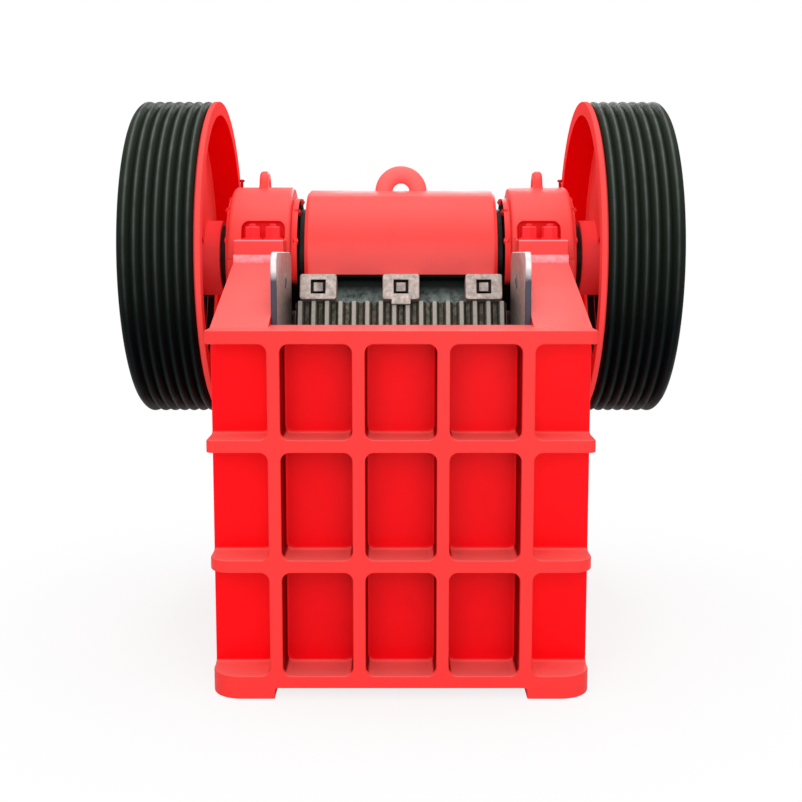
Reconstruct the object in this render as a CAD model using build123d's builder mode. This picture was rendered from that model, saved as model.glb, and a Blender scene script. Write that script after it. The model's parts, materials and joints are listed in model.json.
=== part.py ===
"""Single-toggle jaw crusher with a 500 by 750 mm feed opening.

Millimetres, +Z up. X runs along the eccentric shaft, the feed side faces -Y,
and the origin is on the floor under the middle of the machine.
"""
import os
from math import cos, radians, sin

from build123d import *

# Frame: the crushing chamber, its walls and the ribs round them
feed_width = 750
cheek_thickness = 20
wall_thickness = 40
side_rib_depth = 132
rib_depth = 130
rear_rib_depth = 120
panel_thickness = 25
rear_wall_thickness = 40
rear_reach = 620
foot_height = 33
rib_thickness = 38
lower_rib_z = 404
upper_rib_z = 762
top_rib_z = 1079
corner_radius = 18
upright_thickness = 37
front_upright_count = 4
outer_bay = 198
casting_fillet = 26
side_upright_inset = 50
anchor_radius = 17
anchor_side_edge = 67
anchor_spacing_y = 1100

# Feed lip and the sloping top flanges
lip_depth = 45
lip_rise = 3
slope_start = 118
slope_foot = 28
slope_thickness = 40
slope_fillet = 38
slope_fillet_radius = 53

# Shaft and bearings
seat_height = 187
journal_radius = 100
throw = 13
eccentric_radius = 125
wheel_seat_radius = 85
shaft_stub = 13
shaft_chamfer = 6
running_gap = 0.4
cap_radius = 255
housing_inset = 10
housing_overhang = 34
seat_half_length = 340
flange_setback = 3
cap_flange_height = 68
recess_inner_edge = 18
recess_outer_edge = 14
recess_height = 64
recess_depth = 75
recess_radius = 26
cap_edge = 16
cap_inner_edge = 8
eye_thickness = 33
eye_radius = 58
eye_hole_radius = 24
cover_radius = 215
cover_thickness = 22
outer_cover_radius = 222
outer_cover_thickness = 11
cover_bore_gap = 6

# Rings that turn with the shaft
turning_gap = 5.5
inner_ring_radius = 176
outer_ring_radius = 120

# Flywheels
wheel_radius = 558
wheel_width = 272
wheel_gap = 33
rim_thickness = 48
groove_pitch = 34.4
groove_width = 15
groove_depth = 12
outer_land = 41.5
inner_land = 24
hub_radius = 135
hub_recess = 10
web_thickness = 30
web_setback = 106
window_inner_radius = 185
window_outer_radius = 468
window_angle = 48
window_pitch = 70
window_count = 3
first_window = -40
window_fillet = 34
balance_height = 51
balance_angle = 58
balance_start = 97

# Moving jaw
jaw_angle = 22
head_radius = 257
head_side_gap = 40
head_chamfer = 12
jaw_top_setback = 256
jaw_top_drop = 149
jaw_bottom_z = 150
discharge_gap = 80
jaw_side_gap = 13
jaw_base_thickness = 36
tooth_height = 24
tooth_pitch = 46
tooth_crest = 13
tooth_root = 34
plate_edge = 1
body_plate_thickness = 55
body_web_thickness = 32
body_web_edge = 23
body_web_count = 4
seat_beam_depth = 210
beam_height = 200
beam_rise = 90
web_back_inset = 50
clamp_width = 126
clamp_height = 92
clamp_thickness = 70
clamp_overhang = 12
clamp_count = 3
clamp_gap = 3
clamp_pocket = 50
clamp_pocket_depth = 22
tongue_width = 66
tongue_height = 18
tongue_gap = 1
ring_radius = 94
ring_hole_radius = 31
ring_thickness = 50
ring_sink = 6

# Fixed jaw and cheek plates
fixed_base_thickness = 36
ledge_depth = 50
ledge_height = 34
cheek_rise = 35
cheek_front_gap = 10
cheek_housing_gap = 43
cheek_back_margin = 120
cheek_corner = 42

# Toggle, adjusting block and tension rod
toggle_side_gap = 35
toggle_thickness = 46
toggle_end_radius = 28
toggle_seat_gap = 0.3
toggle_inset = 15
toggle_front_z = 262
toggle_rear_z = 352
block_side_gap = 35
block_length = 150
block_height = 190
shim_thickness = 22
shim_count = 4
shim_gap = 0.5
shelf_thickness = 36
swing_clearance = 19
rod_radius = 20
rod_z = 150
rod_eye_radius = 40
rod_ear_thickness = 20
rod_pin_radius = 16
rod_hole_radius = 46
rod_overhang = 170
spring_radius = 62
spring_wire_radius = 9
spring_pitch = 34
spring_turns = 4
seat_plate_radius = 84
seat_plate_thickness = 14
washer_radius = 74
washer_thickness = 12
nut_radius = 34
nut_length = 30
hex_sides = 6

# Widths that follow from the feed opening, from the middle outwards
cheek_inner_x = feed_width / 2
wall_inner_x = cheek_inner_x + cheek_thickness
wall_outer_x = wall_inner_x + wall_thickness
frame_half_width = wall_outer_x + side_rib_depth
anchor_x = frame_half_width - anchor_side_edge
upright_pitch = 2 * (frame_half_width - outer_bay) / (front_upright_count - 1)
head_half_width = cheek_inner_x - head_side_gap
jaw_plate_half_width = cheek_inner_x - jaw_side_gap
tooth_count = round(2 * jaw_plate_half_width / tooth_pitch)
toggle_half_width = head_half_width - toggle_side_gap
block_half_width = wall_inner_x - block_side_gap
cap_inner_x = wall_inner_x - housing_inset
cap_outer_x = frame_half_width + housing_overhang
wheel_inner_x = cap_outer_x + outer_cover_thickness + wheel_gap
wheel_outer_x = wheel_inner_x + wheel_width
shaft_length = 2 * (wheel_outer_x + shaft_stub)
groove_count = 1 + int((wheel_width - outer_land - inner_land) / groove_pitch)

# Heights
rib_levels = [foot_height + rib_thickness / 2, lower_rib_z, upper_rib_z, top_rib_z]
frame_top_z = top_rib_z + rib_thickness / 2
rear_top_z = upper_rib_z + rib_thickness / 2
shaft_z = frame_top_z + seat_height
slope_end_z = shaft_z - slope_foot / 2
head_z = shaft_z - throw
cheek_top_z = shaft_z + cheek_rise

# Depths: the closed discharge gap sets the shaft behind the fixed jaw
lean = radians(jaw_angle)
jaw_plate_length = (head_z - jaw_top_drop - jaw_bottom_z) / cos(lean)
jaw_reach = jaw_top_setback + jaw_plate_length * sin(lean) + (jaw_base_thickness + tooth_height) * cos(lean)
fixed_face_depth = rib_depth + panel_thickness + fixed_base_thickness + tooth_height
shaft_from_front = fixed_face_depth + discharge_gap + jaw_reach
frame_length = shaft_from_front + rear_reach
overall_length = frame_length + rod_overhang
front_y = -overall_length / 2
rear_y = front_y + frame_length
shaft_y = front_y + shaft_from_front
panel_back_y = front_y + rib_depth + panel_thickness
fixed_face_y = front_y + fixed_face_depth
rear_wall_y = rear_y - rear_rib_depth
seat_front_y = shaft_y - seat_half_length
seat_rear_y = shaft_y + seat_half_length
slope_start_y = front_y + slope_start
shaft_line = Axis((0, shaft_y, shaft_z), (1, 0, 0))
shaft_section = Plane((0, shaft_y, shaft_z), x_dir=(1, 0, 0), z_dir=(0, -1, 0))

# Inclined planes of the moving jaw: its seat, and the cross section at its top end
jaw_top = (0, shaft_y - jaw_top_setback, head_z - jaw_top_drop)
jaw_face = Plane(jaw_top, x_dir=(1, 0, 0), z_dir=(0, -cos(lean), sin(lean)))
jaw_section = Plane(jaw_top, x_dir=(1, 0, 0), z_dir=(0, -sin(lean), -cos(lean)))

os.makedirs("parts", exist_ok=True)


def save(piece, name):
    """Label a finished piece and write it as one STEP file."""
    piece.part.label = name
    export_step(piece.part, f"parts/{name}.step")


def save_pair(piece, name):
    """Save a right-hand piece and its mirror image on the left."""
    save(piece, f"{name}_right")
    with BuildPart() as left:
        add(mirror(piece.part, about=Plane.YZ))
    save(left, f"{name}_left")


def slope_z(y):
    """Height of the sloping top flange at a given depth."""
    run = (y - slope_start_y) / (seat_front_y - slope_start_y)
    return frame_top_z + run * (slope_end_z - frame_top_z)


def jaw_point(along, out):
    """Y and Z of a point given along the moving jaw (up) and out of its seat."""
    place = jaw_face.from_local_coords((0, along, out))
    return place.Y, place.Z


def jaw_teeth(count, base, half_width):
    """Outline of a toothed jaw plate: flat back, trapezoid teeth, plain edges."""
    outline = [(-half_width, 0), (-half_width, base)]
    for index in range(count):
        middle = (index - (count - 1) / 2) * tooth_pitch
        outline += [
            (max(middle - tooth_root / 2, plate_edge - half_width), base),
            (middle - tooth_crest / 2, base + tooth_height),
            (middle + tooth_crest / 2, base + tooth_height),
            (min(middle + tooth_root / 2, half_width - plate_edge), base),
        ]
    return outline + [(half_width, base), (half_width, 0)]


# Feet: two base rails with the anchor holes
with BuildPart() as base_rail:
    with BuildSketch():
        with Locations(((cheek_inner_x + frame_half_width) / 2, (front_y + rear_y) / 2)):
            Rectangle(frame_half_width - cheek_inner_x, frame_length)
    extrude(amount=foot_height)
    fillet(base_rail.edges().filter_by(Axis.Z).group_by(Axis.X)[-1], corner_radius)
    with Locations((anchor_x, (front_y + rear_y) / 2, foot_height)):
        with GridLocations(0, anchor_spacing_y, 1, 2):
            Hole(anchor_radius)
save_pair(base_rail, "base_rail")


def ring_outline(rear, inner_front):
    """Plan of one level of ribs that runs round the frame."""
    with BuildSketch() as plan:
        with Locations((0, (front_y + rear) / 2)):
            Rectangle(2 * frame_half_width, rear - front_y)
        fillet(plan.vertices(), corner_radius)
        with Locations((0, (inner_front + rear_wall_y) / 2)):
            Rectangle(2 * wall_outer_x, rear_wall_y - inner_front, mode=Mode.SUBTRACT)
    return plan.sketch


# Ribs round the whole frame at the three lower levels
for level, height in zip(("bottom", "lower", "upper"), rib_levels):
    with BuildPart() as rib_ring:
        with BuildSketch(Plane.XY.offset(height - rib_thickness / 2)):
            add(ring_outline(rear_y, panel_back_y))
        extrude(amount=rib_thickness)
        if level == "bottom":
            with Locations((0, (front_y + rear_y) / 2, foot_height + rib_thickness)):
                with GridLocations(2 * anchor_x, anchor_spacing_y, 2, 2):
                    Hole(anchor_radius, depth=rib_thickness)
    save(rib_ring, f"rib_ring_{level}")

# Top rib: across the front and along both sides as far as the bearing seats
with BuildPart() as rib_top:
    with BuildSketch(Plane.XY.offset(top_rib_z - rib_thickness / 2)):
        add(ring_outline(seat_rear_y, panel_back_y))
    extrude(amount=rib_thickness)
    with BuildSketch(Plane.YZ.offset(-wall_inner_x)):
        with BuildLine():
            Polyline(
                (front_y + corner_radius, frame_top_z),
                (panel_back_y + lip_depth, frame_top_z + lip_rise),
                (panel_back_y + lip_depth, frame_top_z - rib_thickness),
                (panel_back_y, frame_top_z - rib_thickness),
                (panel_back_y, frame_top_z),
                close=True,
            )
        make_face()
    extrude(amount=2 * wall_inner_x)
save(rib_top, "rib_top")

# Front wall: one panel between each two ribs, with a ledge under the fixed jaw
with BuildPart() as front_wall:
    for below, above in zip(rib_levels, rib_levels[1:]):
        panel_bottom = below + rib_thickness / 2
        panel_height = above - below - rib_thickness
        with BuildSketch(Plane.XY.offset(panel_bottom)):
            with Locations((0, panel_back_y - panel_thickness / 2)):
                Rectangle(2 * frame_half_width, panel_thickness)
        extrude(amount=panel_height)
    with BuildSketch(Plane.XY.offset(jaw_bottom_z - ledge_height)):
        with Locations((0, panel_back_y + ledge_depth / 2)):
            Rectangle(2 * wall_inner_x, ledge_depth)
    extrude(amount=ledge_height)
save(front_wall, "front_wall")


def upright_outline(clear_height):
    """Rib between two levels, flared by the casting fillet at both ends."""
    half = upright_thickness / 2
    top = clear_height / 2
    with BuildSketch(mode=Mode.PRIVATE) as outline:
        Rectangle(upright_thickness + 2 * casting_fillet, clear_height)
        for side in (-1, 1):
            with Locations((side * (half + casting_fillet), 0)):
                SlotOverall(clear_height, 2 * casting_fillet, rotation=90, mode=Mode.SUBTRACT)
    return outline.sketch


def upright(plane, depth, levels):
    """Stacked ribs of one upright, one between each two levels, standing on the given plane."""
    with BuildPart() as column:
        for below, above in zip(levels, levels[1:]):
            clear_height = above - below - rib_thickness
            with BuildSketch(plane):
                with Locations((0, (below + above) / 2)):
                    add(upright_outline(clear_height))
            extrude(amount=depth)
    return column


# Uprights of the front wall
for number in range(front_upright_count):
    upright_x = (number - (front_upright_count - 1) / 2) * upright_pitch
    front_plane = Plane((upright_x, front_y + rib_depth, 0), x_dir=(1, 0, 0), z_dir=(0, -1, 0))
    save(upright(front_plane, rib_depth, rib_levels), f"front_upright_{number + 1}")

# Uprights of the side walls, in front of and behind the bearing
side_upright_places = [
    ("front", seat_front_y + side_upright_inset),
    ("rear", seat_rear_y - side_upright_inset),
]
for place, upright_y in side_upright_places:
    side_plane = Plane((wall_outer_x, upright_y, 0), x_dir=(0, 1, 0), z_dir=(1, 0, 0))
    save_pair(upright(side_plane, frame_half_width - wall_outer_x, rib_levels), f"side_upright_{place}")

# Uprights of the rear wall, on both sides of the tension rod
rear_plane = Plane((upright_pitch, rear_wall_y, 0), x_dir=(-1, 0, 0), z_dir=(0, 1, 0))
save_pair(upright(rear_plane, rear_rib_depth, rib_levels[:-1]), "rear_upright")

# Side walls: straight foot, sloping shoulder at the front and at the back
with BuildPart() as side_wall:
    with BuildSketch(Plane.YZ.offset(wall_inner_x)):
        with BuildLine():
            Polyline(
                (panel_back_y, foot_height),
                (panel_back_y, frame_top_z),
                (slope_start_y + slope_foot, frame_top_z),
                (seat_front_y, slope_end_z - slope_thickness),
                (seat_front_y, frame_top_z),
                (seat_rear_y, frame_top_z),
                (rear_wall_y, rear_top_z),
                (rear_wall_y, foot_height),
                close=True,
            )
        make_face()
    extrude(amount=wall_thickness)
save_pair(side_wall, "side_wall")

# Top flanges: slope from the front rib up to the bearing seat, ending in a cast fillet
flange_foot_y = slope_start_y + slope_foot
with BuildPart() as top_flange:
    with BuildSketch(Plane.YZ.offset(wall_inner_x)):
        with BuildLine():
            fillet_foot_y = seat_front_y - slope_fillet
            Polyline(
                (seat_front_y, slope_z(seat_front_y) + slope_fillet),
                (seat_front_y, slope_end_z - slope_thickness),
                (flange_foot_y, frame_top_z),
                (slope_start_y, frame_top_z),
                (fillet_foot_y, slope_z(fillet_foot_y)),
            )
            RadiusArc(
                (fillet_foot_y, slope_z(fillet_foot_y)),
                (seat_front_y, slope_z(seat_front_y) + slope_fillet),
                slope_fillet_radius,
            )
        make_face()
    extrude(amount=frame_half_width - wall_inner_x)
save_pair(top_flange, "top_flange")

# Lower bearing housings, standing on the side walls
bearing_bore = journal_radius + running_gap
flange_inner_x = wall_inner_x + flange_setback
with BuildPart() as bearing_seat:
    with BuildSketch(Plane.YZ.offset(flange_inner_x)):
        with Locations((shaft_y, (frame_top_z + shaft_z) / 2)):
            Rectangle(2 * seat_half_length, shaft_z - frame_top_z)
    extrude(amount=frame_half_width - flange_inner_x)
    with BuildSketch(Plane.YZ.offset(cap_inner_x)):
        with Locations((shaft_y, shaft_z)):
            Circle(cap_radius)
        with Locations((shaft_y, (frame_top_z + shaft_z) / 2)):
            Rectangle(2 * cap_radius, shaft_z - frame_top_z, mode=Mode.INTERSECT)
    extrude(amount=cap_outer_x - cap_inner_x)
    with BuildSketch(Plane.YZ.offset(cap_inner_x)):
        with Locations((shaft_y, shaft_z)):
            Circle(bearing_bore)
    extrude(amount=cap_outer_x - cap_inner_x, mode=Mode.SUBTRACT)
save_pair(bearing_seat, "bearing_seat")

# Bearing caps: half barrel, bolting flange, arched bolt recesses and a lifting eye
with BuildPart() as bearing_cap:
    with BuildSketch(Plane.YZ.offset(cap_inner_x)):
        with Locations((shaft_y, shaft_z)):
            Circle(cap_radius)
        with Locations((shaft_y, shaft_z - cap_radius / 2)):
            Rectangle(2 * cap_radius, cap_radius, mode=Mode.SUBTRACT)
    extrude(amount=cap_outer_x - cap_inner_x)
    rims = bearing_cap.edges().filter_by(GeomType.CIRCLE).sort_by(Axis.X)
    fillet(rims[-1], cap_edge)
    chamfer(bearing_cap.edges().filter_by(GeomType.CIRCLE).sort_by(Axis.X)[0], cap_inner_edge)
    with BuildSketch(Plane.YZ.offset(flange_inner_x)):
        with Locations((shaft_y, shaft_z + cap_flange_height / 2)):
            Rectangle(2 * seat_half_length, cap_flange_height)
    extrude(amount=frame_half_width - flange_inner_x)
    recess_inner_x = cap_inner_x + recess_inner_edge
    recess_outer_x = frame_half_width - recess_outer_edge
    for side in (-1, 1):
        recess_y = shaft_y + side * cap_radius
        recess_plane = Plane((0, recess_y, 0), x_dir=(1, 0, 0), z_dir=(0, -1, 0))
        with BuildSketch(recess_plane) as recess:
            with Locations(((recess_inner_x + recess_outer_x) / 2, shaft_z + cap_flange_height)):
                Rectangle(recess_outer_x - recess_inner_x, 2 * recess_height)
            fillet(recess.vertices().group_by(Axis.Y)[-1], recess_radius)
            with Locations(((recess_inner_x + recess_outer_x) / 2, shaft_z)):
                Rectangle(recess_outer_x - recess_inner_x, 2 * cap_flange_height, mode=Mode.SUBTRACT)
        extrude(amount=recess_depth, both=True, mode=Mode.SUBTRACT)
    with BuildSketch(Plane.YZ.offset((cap_inner_x + cap_outer_x - eye_thickness) / 2)):
        with Locations((shaft_y, shaft_z + cap_radius)):
            Circle(eye_radius)
            Circle(eye_hole_radius, mode=Mode.SUBTRACT)
        with Locations((shaft_y, shaft_z + cap_radius - eye_radius - cap_inner_edge)):
            Rectangle(2 * eye_radius, 2 * eye_radius, mode=Mode.SUBTRACT)
    extrude(amount=eye_thickness)
    with BuildSketch(Plane.YZ.offset(cap_inner_x)):
        with Locations((shaft_y, shaft_z)):
            Circle(bearing_bore)
    extrude(amount=cap_outer_x - cap_inner_x, mode=Mode.SUBTRACT)
save_pair(bearing_cap, "bearing_cap")

# Bearing covers on the inner and outer faces of each housing
cover_bore = journal_radius + cover_bore_gap
with BuildPart() as cover_inner:
    with BuildSketch(Plane.YZ.offset(cap_inner_x - cover_thickness)):
        with Locations((shaft_y, shaft_z)):
            Circle(cover_radius)
            Circle(cover_bore, mode=Mode.SUBTRACT)
        with Locations((shaft_y, frame_top_z - cover_radius)):
            Rectangle(2 * cover_radius, 2 * cover_radius, mode=Mode.SUBTRACT)
    extrude(amount=cover_thickness)
save_pair(cover_inner, "cover_inner")
with BuildPart() as cover_outer:
    with BuildSketch(Plane.YZ.offset(cap_outer_x)):
        with Locations((shaft_y, shaft_z)):
            Circle(outer_cover_radius)
            Circle(cover_bore, mode=Mode.SUBTRACT)
        with Locations((shaft_y, frame_top_z - outer_cover_radius)):
            Rectangle(2 * outer_cover_radius, 2 * outer_cover_radius, mode=Mode.SUBTRACT)
    extrude(amount=outer_cover_thickness)
save_pair(cover_outer, "cover_outer")

# Eccentric shaft: two wheel seats, two journals and the offset middle
with BuildPart() as shaft:
    for radius, length, drop in [
        (wheel_seat_radius, shaft_length, 0),
        (journal_radius, 2 * wheel_inner_x, 0),
        (eccentric_radius, 2 * head_half_width, throw),
    ]:
        with BuildSketch(Plane.YZ.offset(-length / 2)):
            with Locations((shaft_y, shaft_z - drop)):
                Circle(radius)
        extrude(amount=length)
    chamfer(shaft.edges().filter_by(GeomType.CIRCLE).group_by(Axis.X)[0], shaft_chamfer)
    chamfer(shaft.edges().filter_by(GeomType.CIRCLE).group_by(Axis.X)[-1], shaft_chamfer)
save(shaft, "eccentric_shaft")

# Sealing rings that turn with the shaft on both sides of each bearing
inner_ring_x = head_half_width + turning_gap
outer_ring_x = cap_outer_x + outer_cover_thickness + turning_gap
for name, start, end, radius in [
    ("ring_inner", inner_ring_x, cap_inner_x - cover_thickness - turning_gap, inner_ring_radius),
    ("ring_outer", outer_ring_x, wheel_inner_x - running_gap, outer_ring_radius),
]:
    with BuildPart() as sealing_ring:
        with BuildSketch(Plane.YZ.offset(start)):
            with Locations((shaft_y, shaft_z)):
                Circle(radius)
                Circle(bearing_bore, mode=Mode.SUBTRACT)
        extrude(amount=end - start)
    save_pair(sealing_ring, name)

# Flywheels: grooved rim, middle web with windows between its spokes, hub and balance weight
rim_inner_radius = wheel_radius - rim_thickness
web_inner_x = wheel_inner_x + web_setback
rim_outline = [(wheel_inner_x, rim_inner_radius), (wheel_inner_x, wheel_radius)]
for groove in range(groove_count):
    groove_x = wheel_outer_x - outer_land - (groove_count - 1 - groove) * groove_pitch
    rim_outline += [
        (groove_x - groove_width / 2, wheel_radius),
        (groove_x, wheel_radius - groove_depth),
        (groove_x + groove_width / 2, wheel_radius),
    ]
rim_outline += [(wheel_outer_x, wheel_radius), (wheel_outer_x, rim_inner_radius)]
web_outline = [
    (web_inner_x + web_thickness, rim_inner_radius),
    (web_inner_x + web_thickness, hub_radius),
    (wheel_outer_x - hub_recess, hub_radius),
    (wheel_outer_x - hub_recess, wheel_seat_radius + running_gap),
    (wheel_inner_x, wheel_seat_radius + running_gap),
    (wheel_inner_x, hub_radius),
    (web_inner_x, hub_radius),
    (web_inner_x, rim_inner_radius),
]


def wheel_sector(inner_radius, outer_radius, start, angle, corner=0):
    """Part of a ring round the shaft, with rounded corners; angles run upwards from the rear."""
    with BuildSketch(mode=Mode.PRIVATE) as sector:
        with BuildLine():
            CenterArc((0, 0), outer_radius, start, angle)
            CenterArc((0, 0), inner_radius, start, angle)
            for side in (start, start + angle):
                across, up = cos(radians(side)), sin(radians(side))
                Line((inner_radius * across, inner_radius * up), (outer_radius * across, outer_radius * up))
        make_face()
        if corner:
            fillet(sector.vertices(), corner)
    return sector.sketch


with BuildPart() as flywheel:
    with BuildSketch(shaft_section):
        with BuildLine():
            Polyline(*rim_outline, *web_outline, close=True)
        make_face()
    revolve(axis=shaft_line)
    with BuildSketch(Plane((web_inner_x, shaft_y, shaft_z), x_dir=(0, 1, 0), z_dir=(1, 0, 0))):
        for index in range(window_count):
            start = first_window - index * window_pitch - window_angle / 2
            add(wheel_sector(window_inner_radius, window_outer_radius, start, window_angle, window_fillet))
    extrude(amount=web_thickness, mode=Mode.SUBTRACT)
    with BuildSketch(Plane((web_inner_x, shaft_y, shaft_z), x_dir=(0, 1, 0), z_dir=(1, 0, 0))):
        add(wheel_sector(hub_radius, rim_inner_radius, balance_start, balance_angle))
    extrude(amount=-balance_height)
save_pair(flywheel, "flywheel")

# Moving jaw body: bearing head, front plate, four webs, toggle seat and lifting ring
jaw_bottom = -jaw_plate_length
seat_beam_y = jaw_point(jaw_bottom, 0)[0] + seat_beam_depth
toggle_front_y = seat_beam_y + toggle_end_radius - toggle_inset
rod_start_y = seat_beam_y + rod_eye_radius
beam_bottom = (seat_beam_y, rod_z - rod_eye_radius)
beam_top = (seat_beam_y, toggle_front_z + beam_rise)
head_plane = Plane.YZ.offset(-head_half_width)
with BuildPart() as jaw_body:
    with BuildSketch(head_plane):
        with Locations((shaft_y, head_z)):
            Circle(head_radius)
    extrude(amount=2 * head_half_width)
    chamfer(jaw_body.edges().filter_by(GeomType.CIRCLE), head_chamfer)
    seat_length = jaw_plate_length + clamp_gap + clamp_height
    with BuildSketch(jaw_face):
        with Locations((0, seat_length / 2 - jaw_plate_length)):
            Rectangle(2 * head_half_width, seat_length)
    extrude(amount=-body_plate_thickness)
    web_points = [
        jaw_point(clamp_height, -body_plate_thickness / 2),
        jaw_point(jaw_bottom, -body_plate_thickness / 2),
        beam_bottom,
        beam_top,
        (shaft_y + head_radius - web_back_inset, head_z - web_back_inset),
        (shaft_y, head_z),
    ]
    body_web_pitch = 2 * (head_half_width - body_web_edge) / (body_web_count - 1)
    for index in range(body_web_count):
        web_x = (index - (body_web_count - 1) / 2) * body_web_pitch
        with BuildSketch(Plane.YZ.offset(web_x - body_web_thickness / 2)):
            with BuildLine():
                Polyline(*web_points, close=True)
            make_face()
        extrude(amount=body_web_thickness)
    with BuildSketch(head_plane):
        with BuildLine():
            Polyline(
                jaw_point(jaw_bottom + beam_height, -body_plate_thickness / 2),
                jaw_point(jaw_bottom, -body_plate_thickness / 2),
                beam_bottom,
                beam_top,
                close=True,
            )
        make_face()
    extrude(amount=2 * head_half_width)
    with BuildSketch(jaw_face):
        with Locations((0, seat_length / 2 - jaw_plate_length)):
            Rectangle(2 * head_half_width, seat_length)
    extrude(amount=head_radius, mode=Mode.SUBTRACT)
    with BuildSketch(head_plane):
        with Locations((shaft_y, head_z)):
            Circle(eccentric_radius + running_gap)
        with Locations((toggle_front_y, toggle_front_z - throw)):
            Circle(toggle_end_radius + swing_clearance)
    extrude(amount=2 * head_half_width, mode=Mode.SUBTRACT)
    ear_outer_x = rod_radius + running_gap + rod_ear_thickness
    with BuildSketch(Plane.YZ.offset(-ear_outer_x)):
        with Locations((rod_start_y, rod_z)):
            Circle(rod_eye_radius)
        with Locations((seat_beam_y, rod_z)):
            Rectangle(2 * rod_eye_radius, 2 * rod_eye_radius)
    extrude(amount=2 * ear_outer_x)
    with BuildSketch(Plane.YZ.offset(-rod_radius - running_gap)):
        with Locations((rod_start_y, rod_z)):
            Rectangle(2 * (rod_eye_radius + running_gap), 2 * (rod_eye_radius + running_gap))
    extrude(amount=2 * (rod_radius + running_gap), mode=Mode.SUBTRACT)
    with BuildSketch(Plane.YZ.offset(-ear_outer_x)):
        with Locations((rod_start_y, rod_z)):
            Circle(rod_pin_radius + running_gap)
    extrude(amount=2 * ear_outer_x, mode=Mode.SUBTRACT)
    ring_z = head_z + head_radius - ring_sink
    ring_bar_radius = (ring_radius - ring_hole_radius) / 2
    with BuildSketch(Plane.XY.offset(ring_z)):
        with Locations((ring_hole_radius + ring_bar_radius, shaft_y)):
            Ellipse(ring_bar_radius, ring_thickness / 2)
    revolve(axis=Axis((0, shaft_y, ring_z), (0, 1, 0)))
save(jaw_body, "moving_jaw_body")

# Toothed plate of the moving jaw
with BuildPart() as moving_plate:
    with BuildSketch(jaw_section):
        with BuildLine():
            Polyline(*jaw_teeth(tooth_count, jaw_base_thickness, jaw_plate_half_width), close=True)
        make_face()
    extrude(amount=jaw_plate_length)
save(moving_plate, "moving_jaw_plate")

# Clamps over the plate's top edge, with square bolt pockets and a tongue on the middle one
clamp_pitch = 2 * (head_half_width + clamp_overhang - clamp_width / 2) / (clamp_count - 1)
tongue_thickness = clamp_thickness - jaw_base_thickness - tooth_height - tongue_gap
with BuildPart() as clamps:
    with BuildSketch(jaw_face):
        with Locations((0, clamp_gap + clamp_height / 2)):
            with GridLocations(clamp_pitch, 0, clamp_count, 1):
                Rectangle(clamp_width, clamp_height)
                Rectangle(clamp_pocket, clamp_pocket, mode=Mode.SUBTRACT)
    extrude(amount=clamp_thickness)
    with BuildSketch(jaw_face):
        with Locations((0, clamp_gap + clamp_height / 2)):
            with GridLocations(clamp_pitch, 0, clamp_count, 1):
                Rectangle(clamp_pocket, clamp_pocket)
    extrude(amount=clamp_thickness - clamp_pocket_depth)
    with BuildSketch(jaw_face.offset(clamp_thickness)):
        with Locations((0, clamp_gap - tongue_height / 2)):
            Rectangle(tongue_width, tongue_height)
    extrude(amount=-tongue_thickness)
save(clamps, "jaw_clamps")

# Fixed jaw plate, its teeth facing the gaps of the moving teeth
with BuildPart() as fixed_plate:
    fixed_section = Plane((0, panel_back_y, jaw_bottom_z), x_dir=(-1, 0, 0), z_dir=(0, 0, 1))
    fixed_half_width = cheek_inner_x - running_gap
    with BuildSketch(fixed_section):
        with BuildLine():
            teeth = jaw_teeth(tooth_count - 1, fixed_base_thickness, fixed_half_width)
            Polyline(*[(-x, -out) for x, out in teeth], close=True)
        make_face()
    extrude(amount=top_rib_z - rib_thickness / 2 - jaw_bottom_z)
save(fixed_plate, "fixed_jaw_plate")

# Cheek plates on both sides of the crushing chamber
cheek_front_y = fixed_face_y - cheek_front_gap
cheek_rear_y = shaft_y - cap_radius - cheek_housing_gap
with BuildPart() as cheek_plate:
    with BuildSketch(Plane.YZ.offset(cheek_inner_x)) as cheek:
        with BuildLine():
            Polyline(
                (cheek_front_y, jaw_bottom_z),
                (cheek_front_y, cheek_top_z),
                (cheek_rear_y, cheek_top_z),
                (cheek_rear_y, jaw_top[2]),
                (jaw_point(jaw_bottom, 0)[0] + cheek_back_margin, jaw_bottom_z),
                close=True,
            )
        make_face()
        fillet(cheek.vertices().group_by(Axis.Y)[-1].sort_by(Axis.X)[0], cheek_corner)
    extrude(amount=cheek_thickness)
save_pair(cheek_plate, "cheek_plate")

# Rear wall with the shelf that carries the adjusting block, and the hole for the rod
shelf_z = toggle_rear_z - block_height / 2 - shelf_thickness
shim_stack = shim_count * (shim_thickness + shim_gap)
block_front_y = rear_wall_y - rear_wall_thickness - shim_stack - block_length
with BuildPart() as rear_wall:
    with BuildSketch(Plane.XY.offset(foot_height)):
        with Locations((0, rear_wall_y - rear_wall_thickness / 2)):
            Rectangle(2 * wall_inner_x, rear_wall_thickness)
    extrude(amount=rear_top_z - foot_height)
    with BuildSketch(Plane.XY.offset(shelf_z)):
        with Locations((0, (block_front_y + rear_wall_y) / 2)):
            Rectangle(2 * wall_inner_x, rear_wall_y - block_front_y)
    extrude(amount=shelf_thickness)
    rod_plane = Plane((0, rear_wall_y, 0), x_dir=(1, 0, 0), z_dir=(0, -1, 0))
    with BuildSketch(rod_plane):
        with Locations((0, rod_z + throw)):
            Circle(rod_hole_radius)
    extrude(amount=rear_wall_thickness, mode=Mode.SUBTRACT)
save(rear_wall, "rear_wall")

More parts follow.
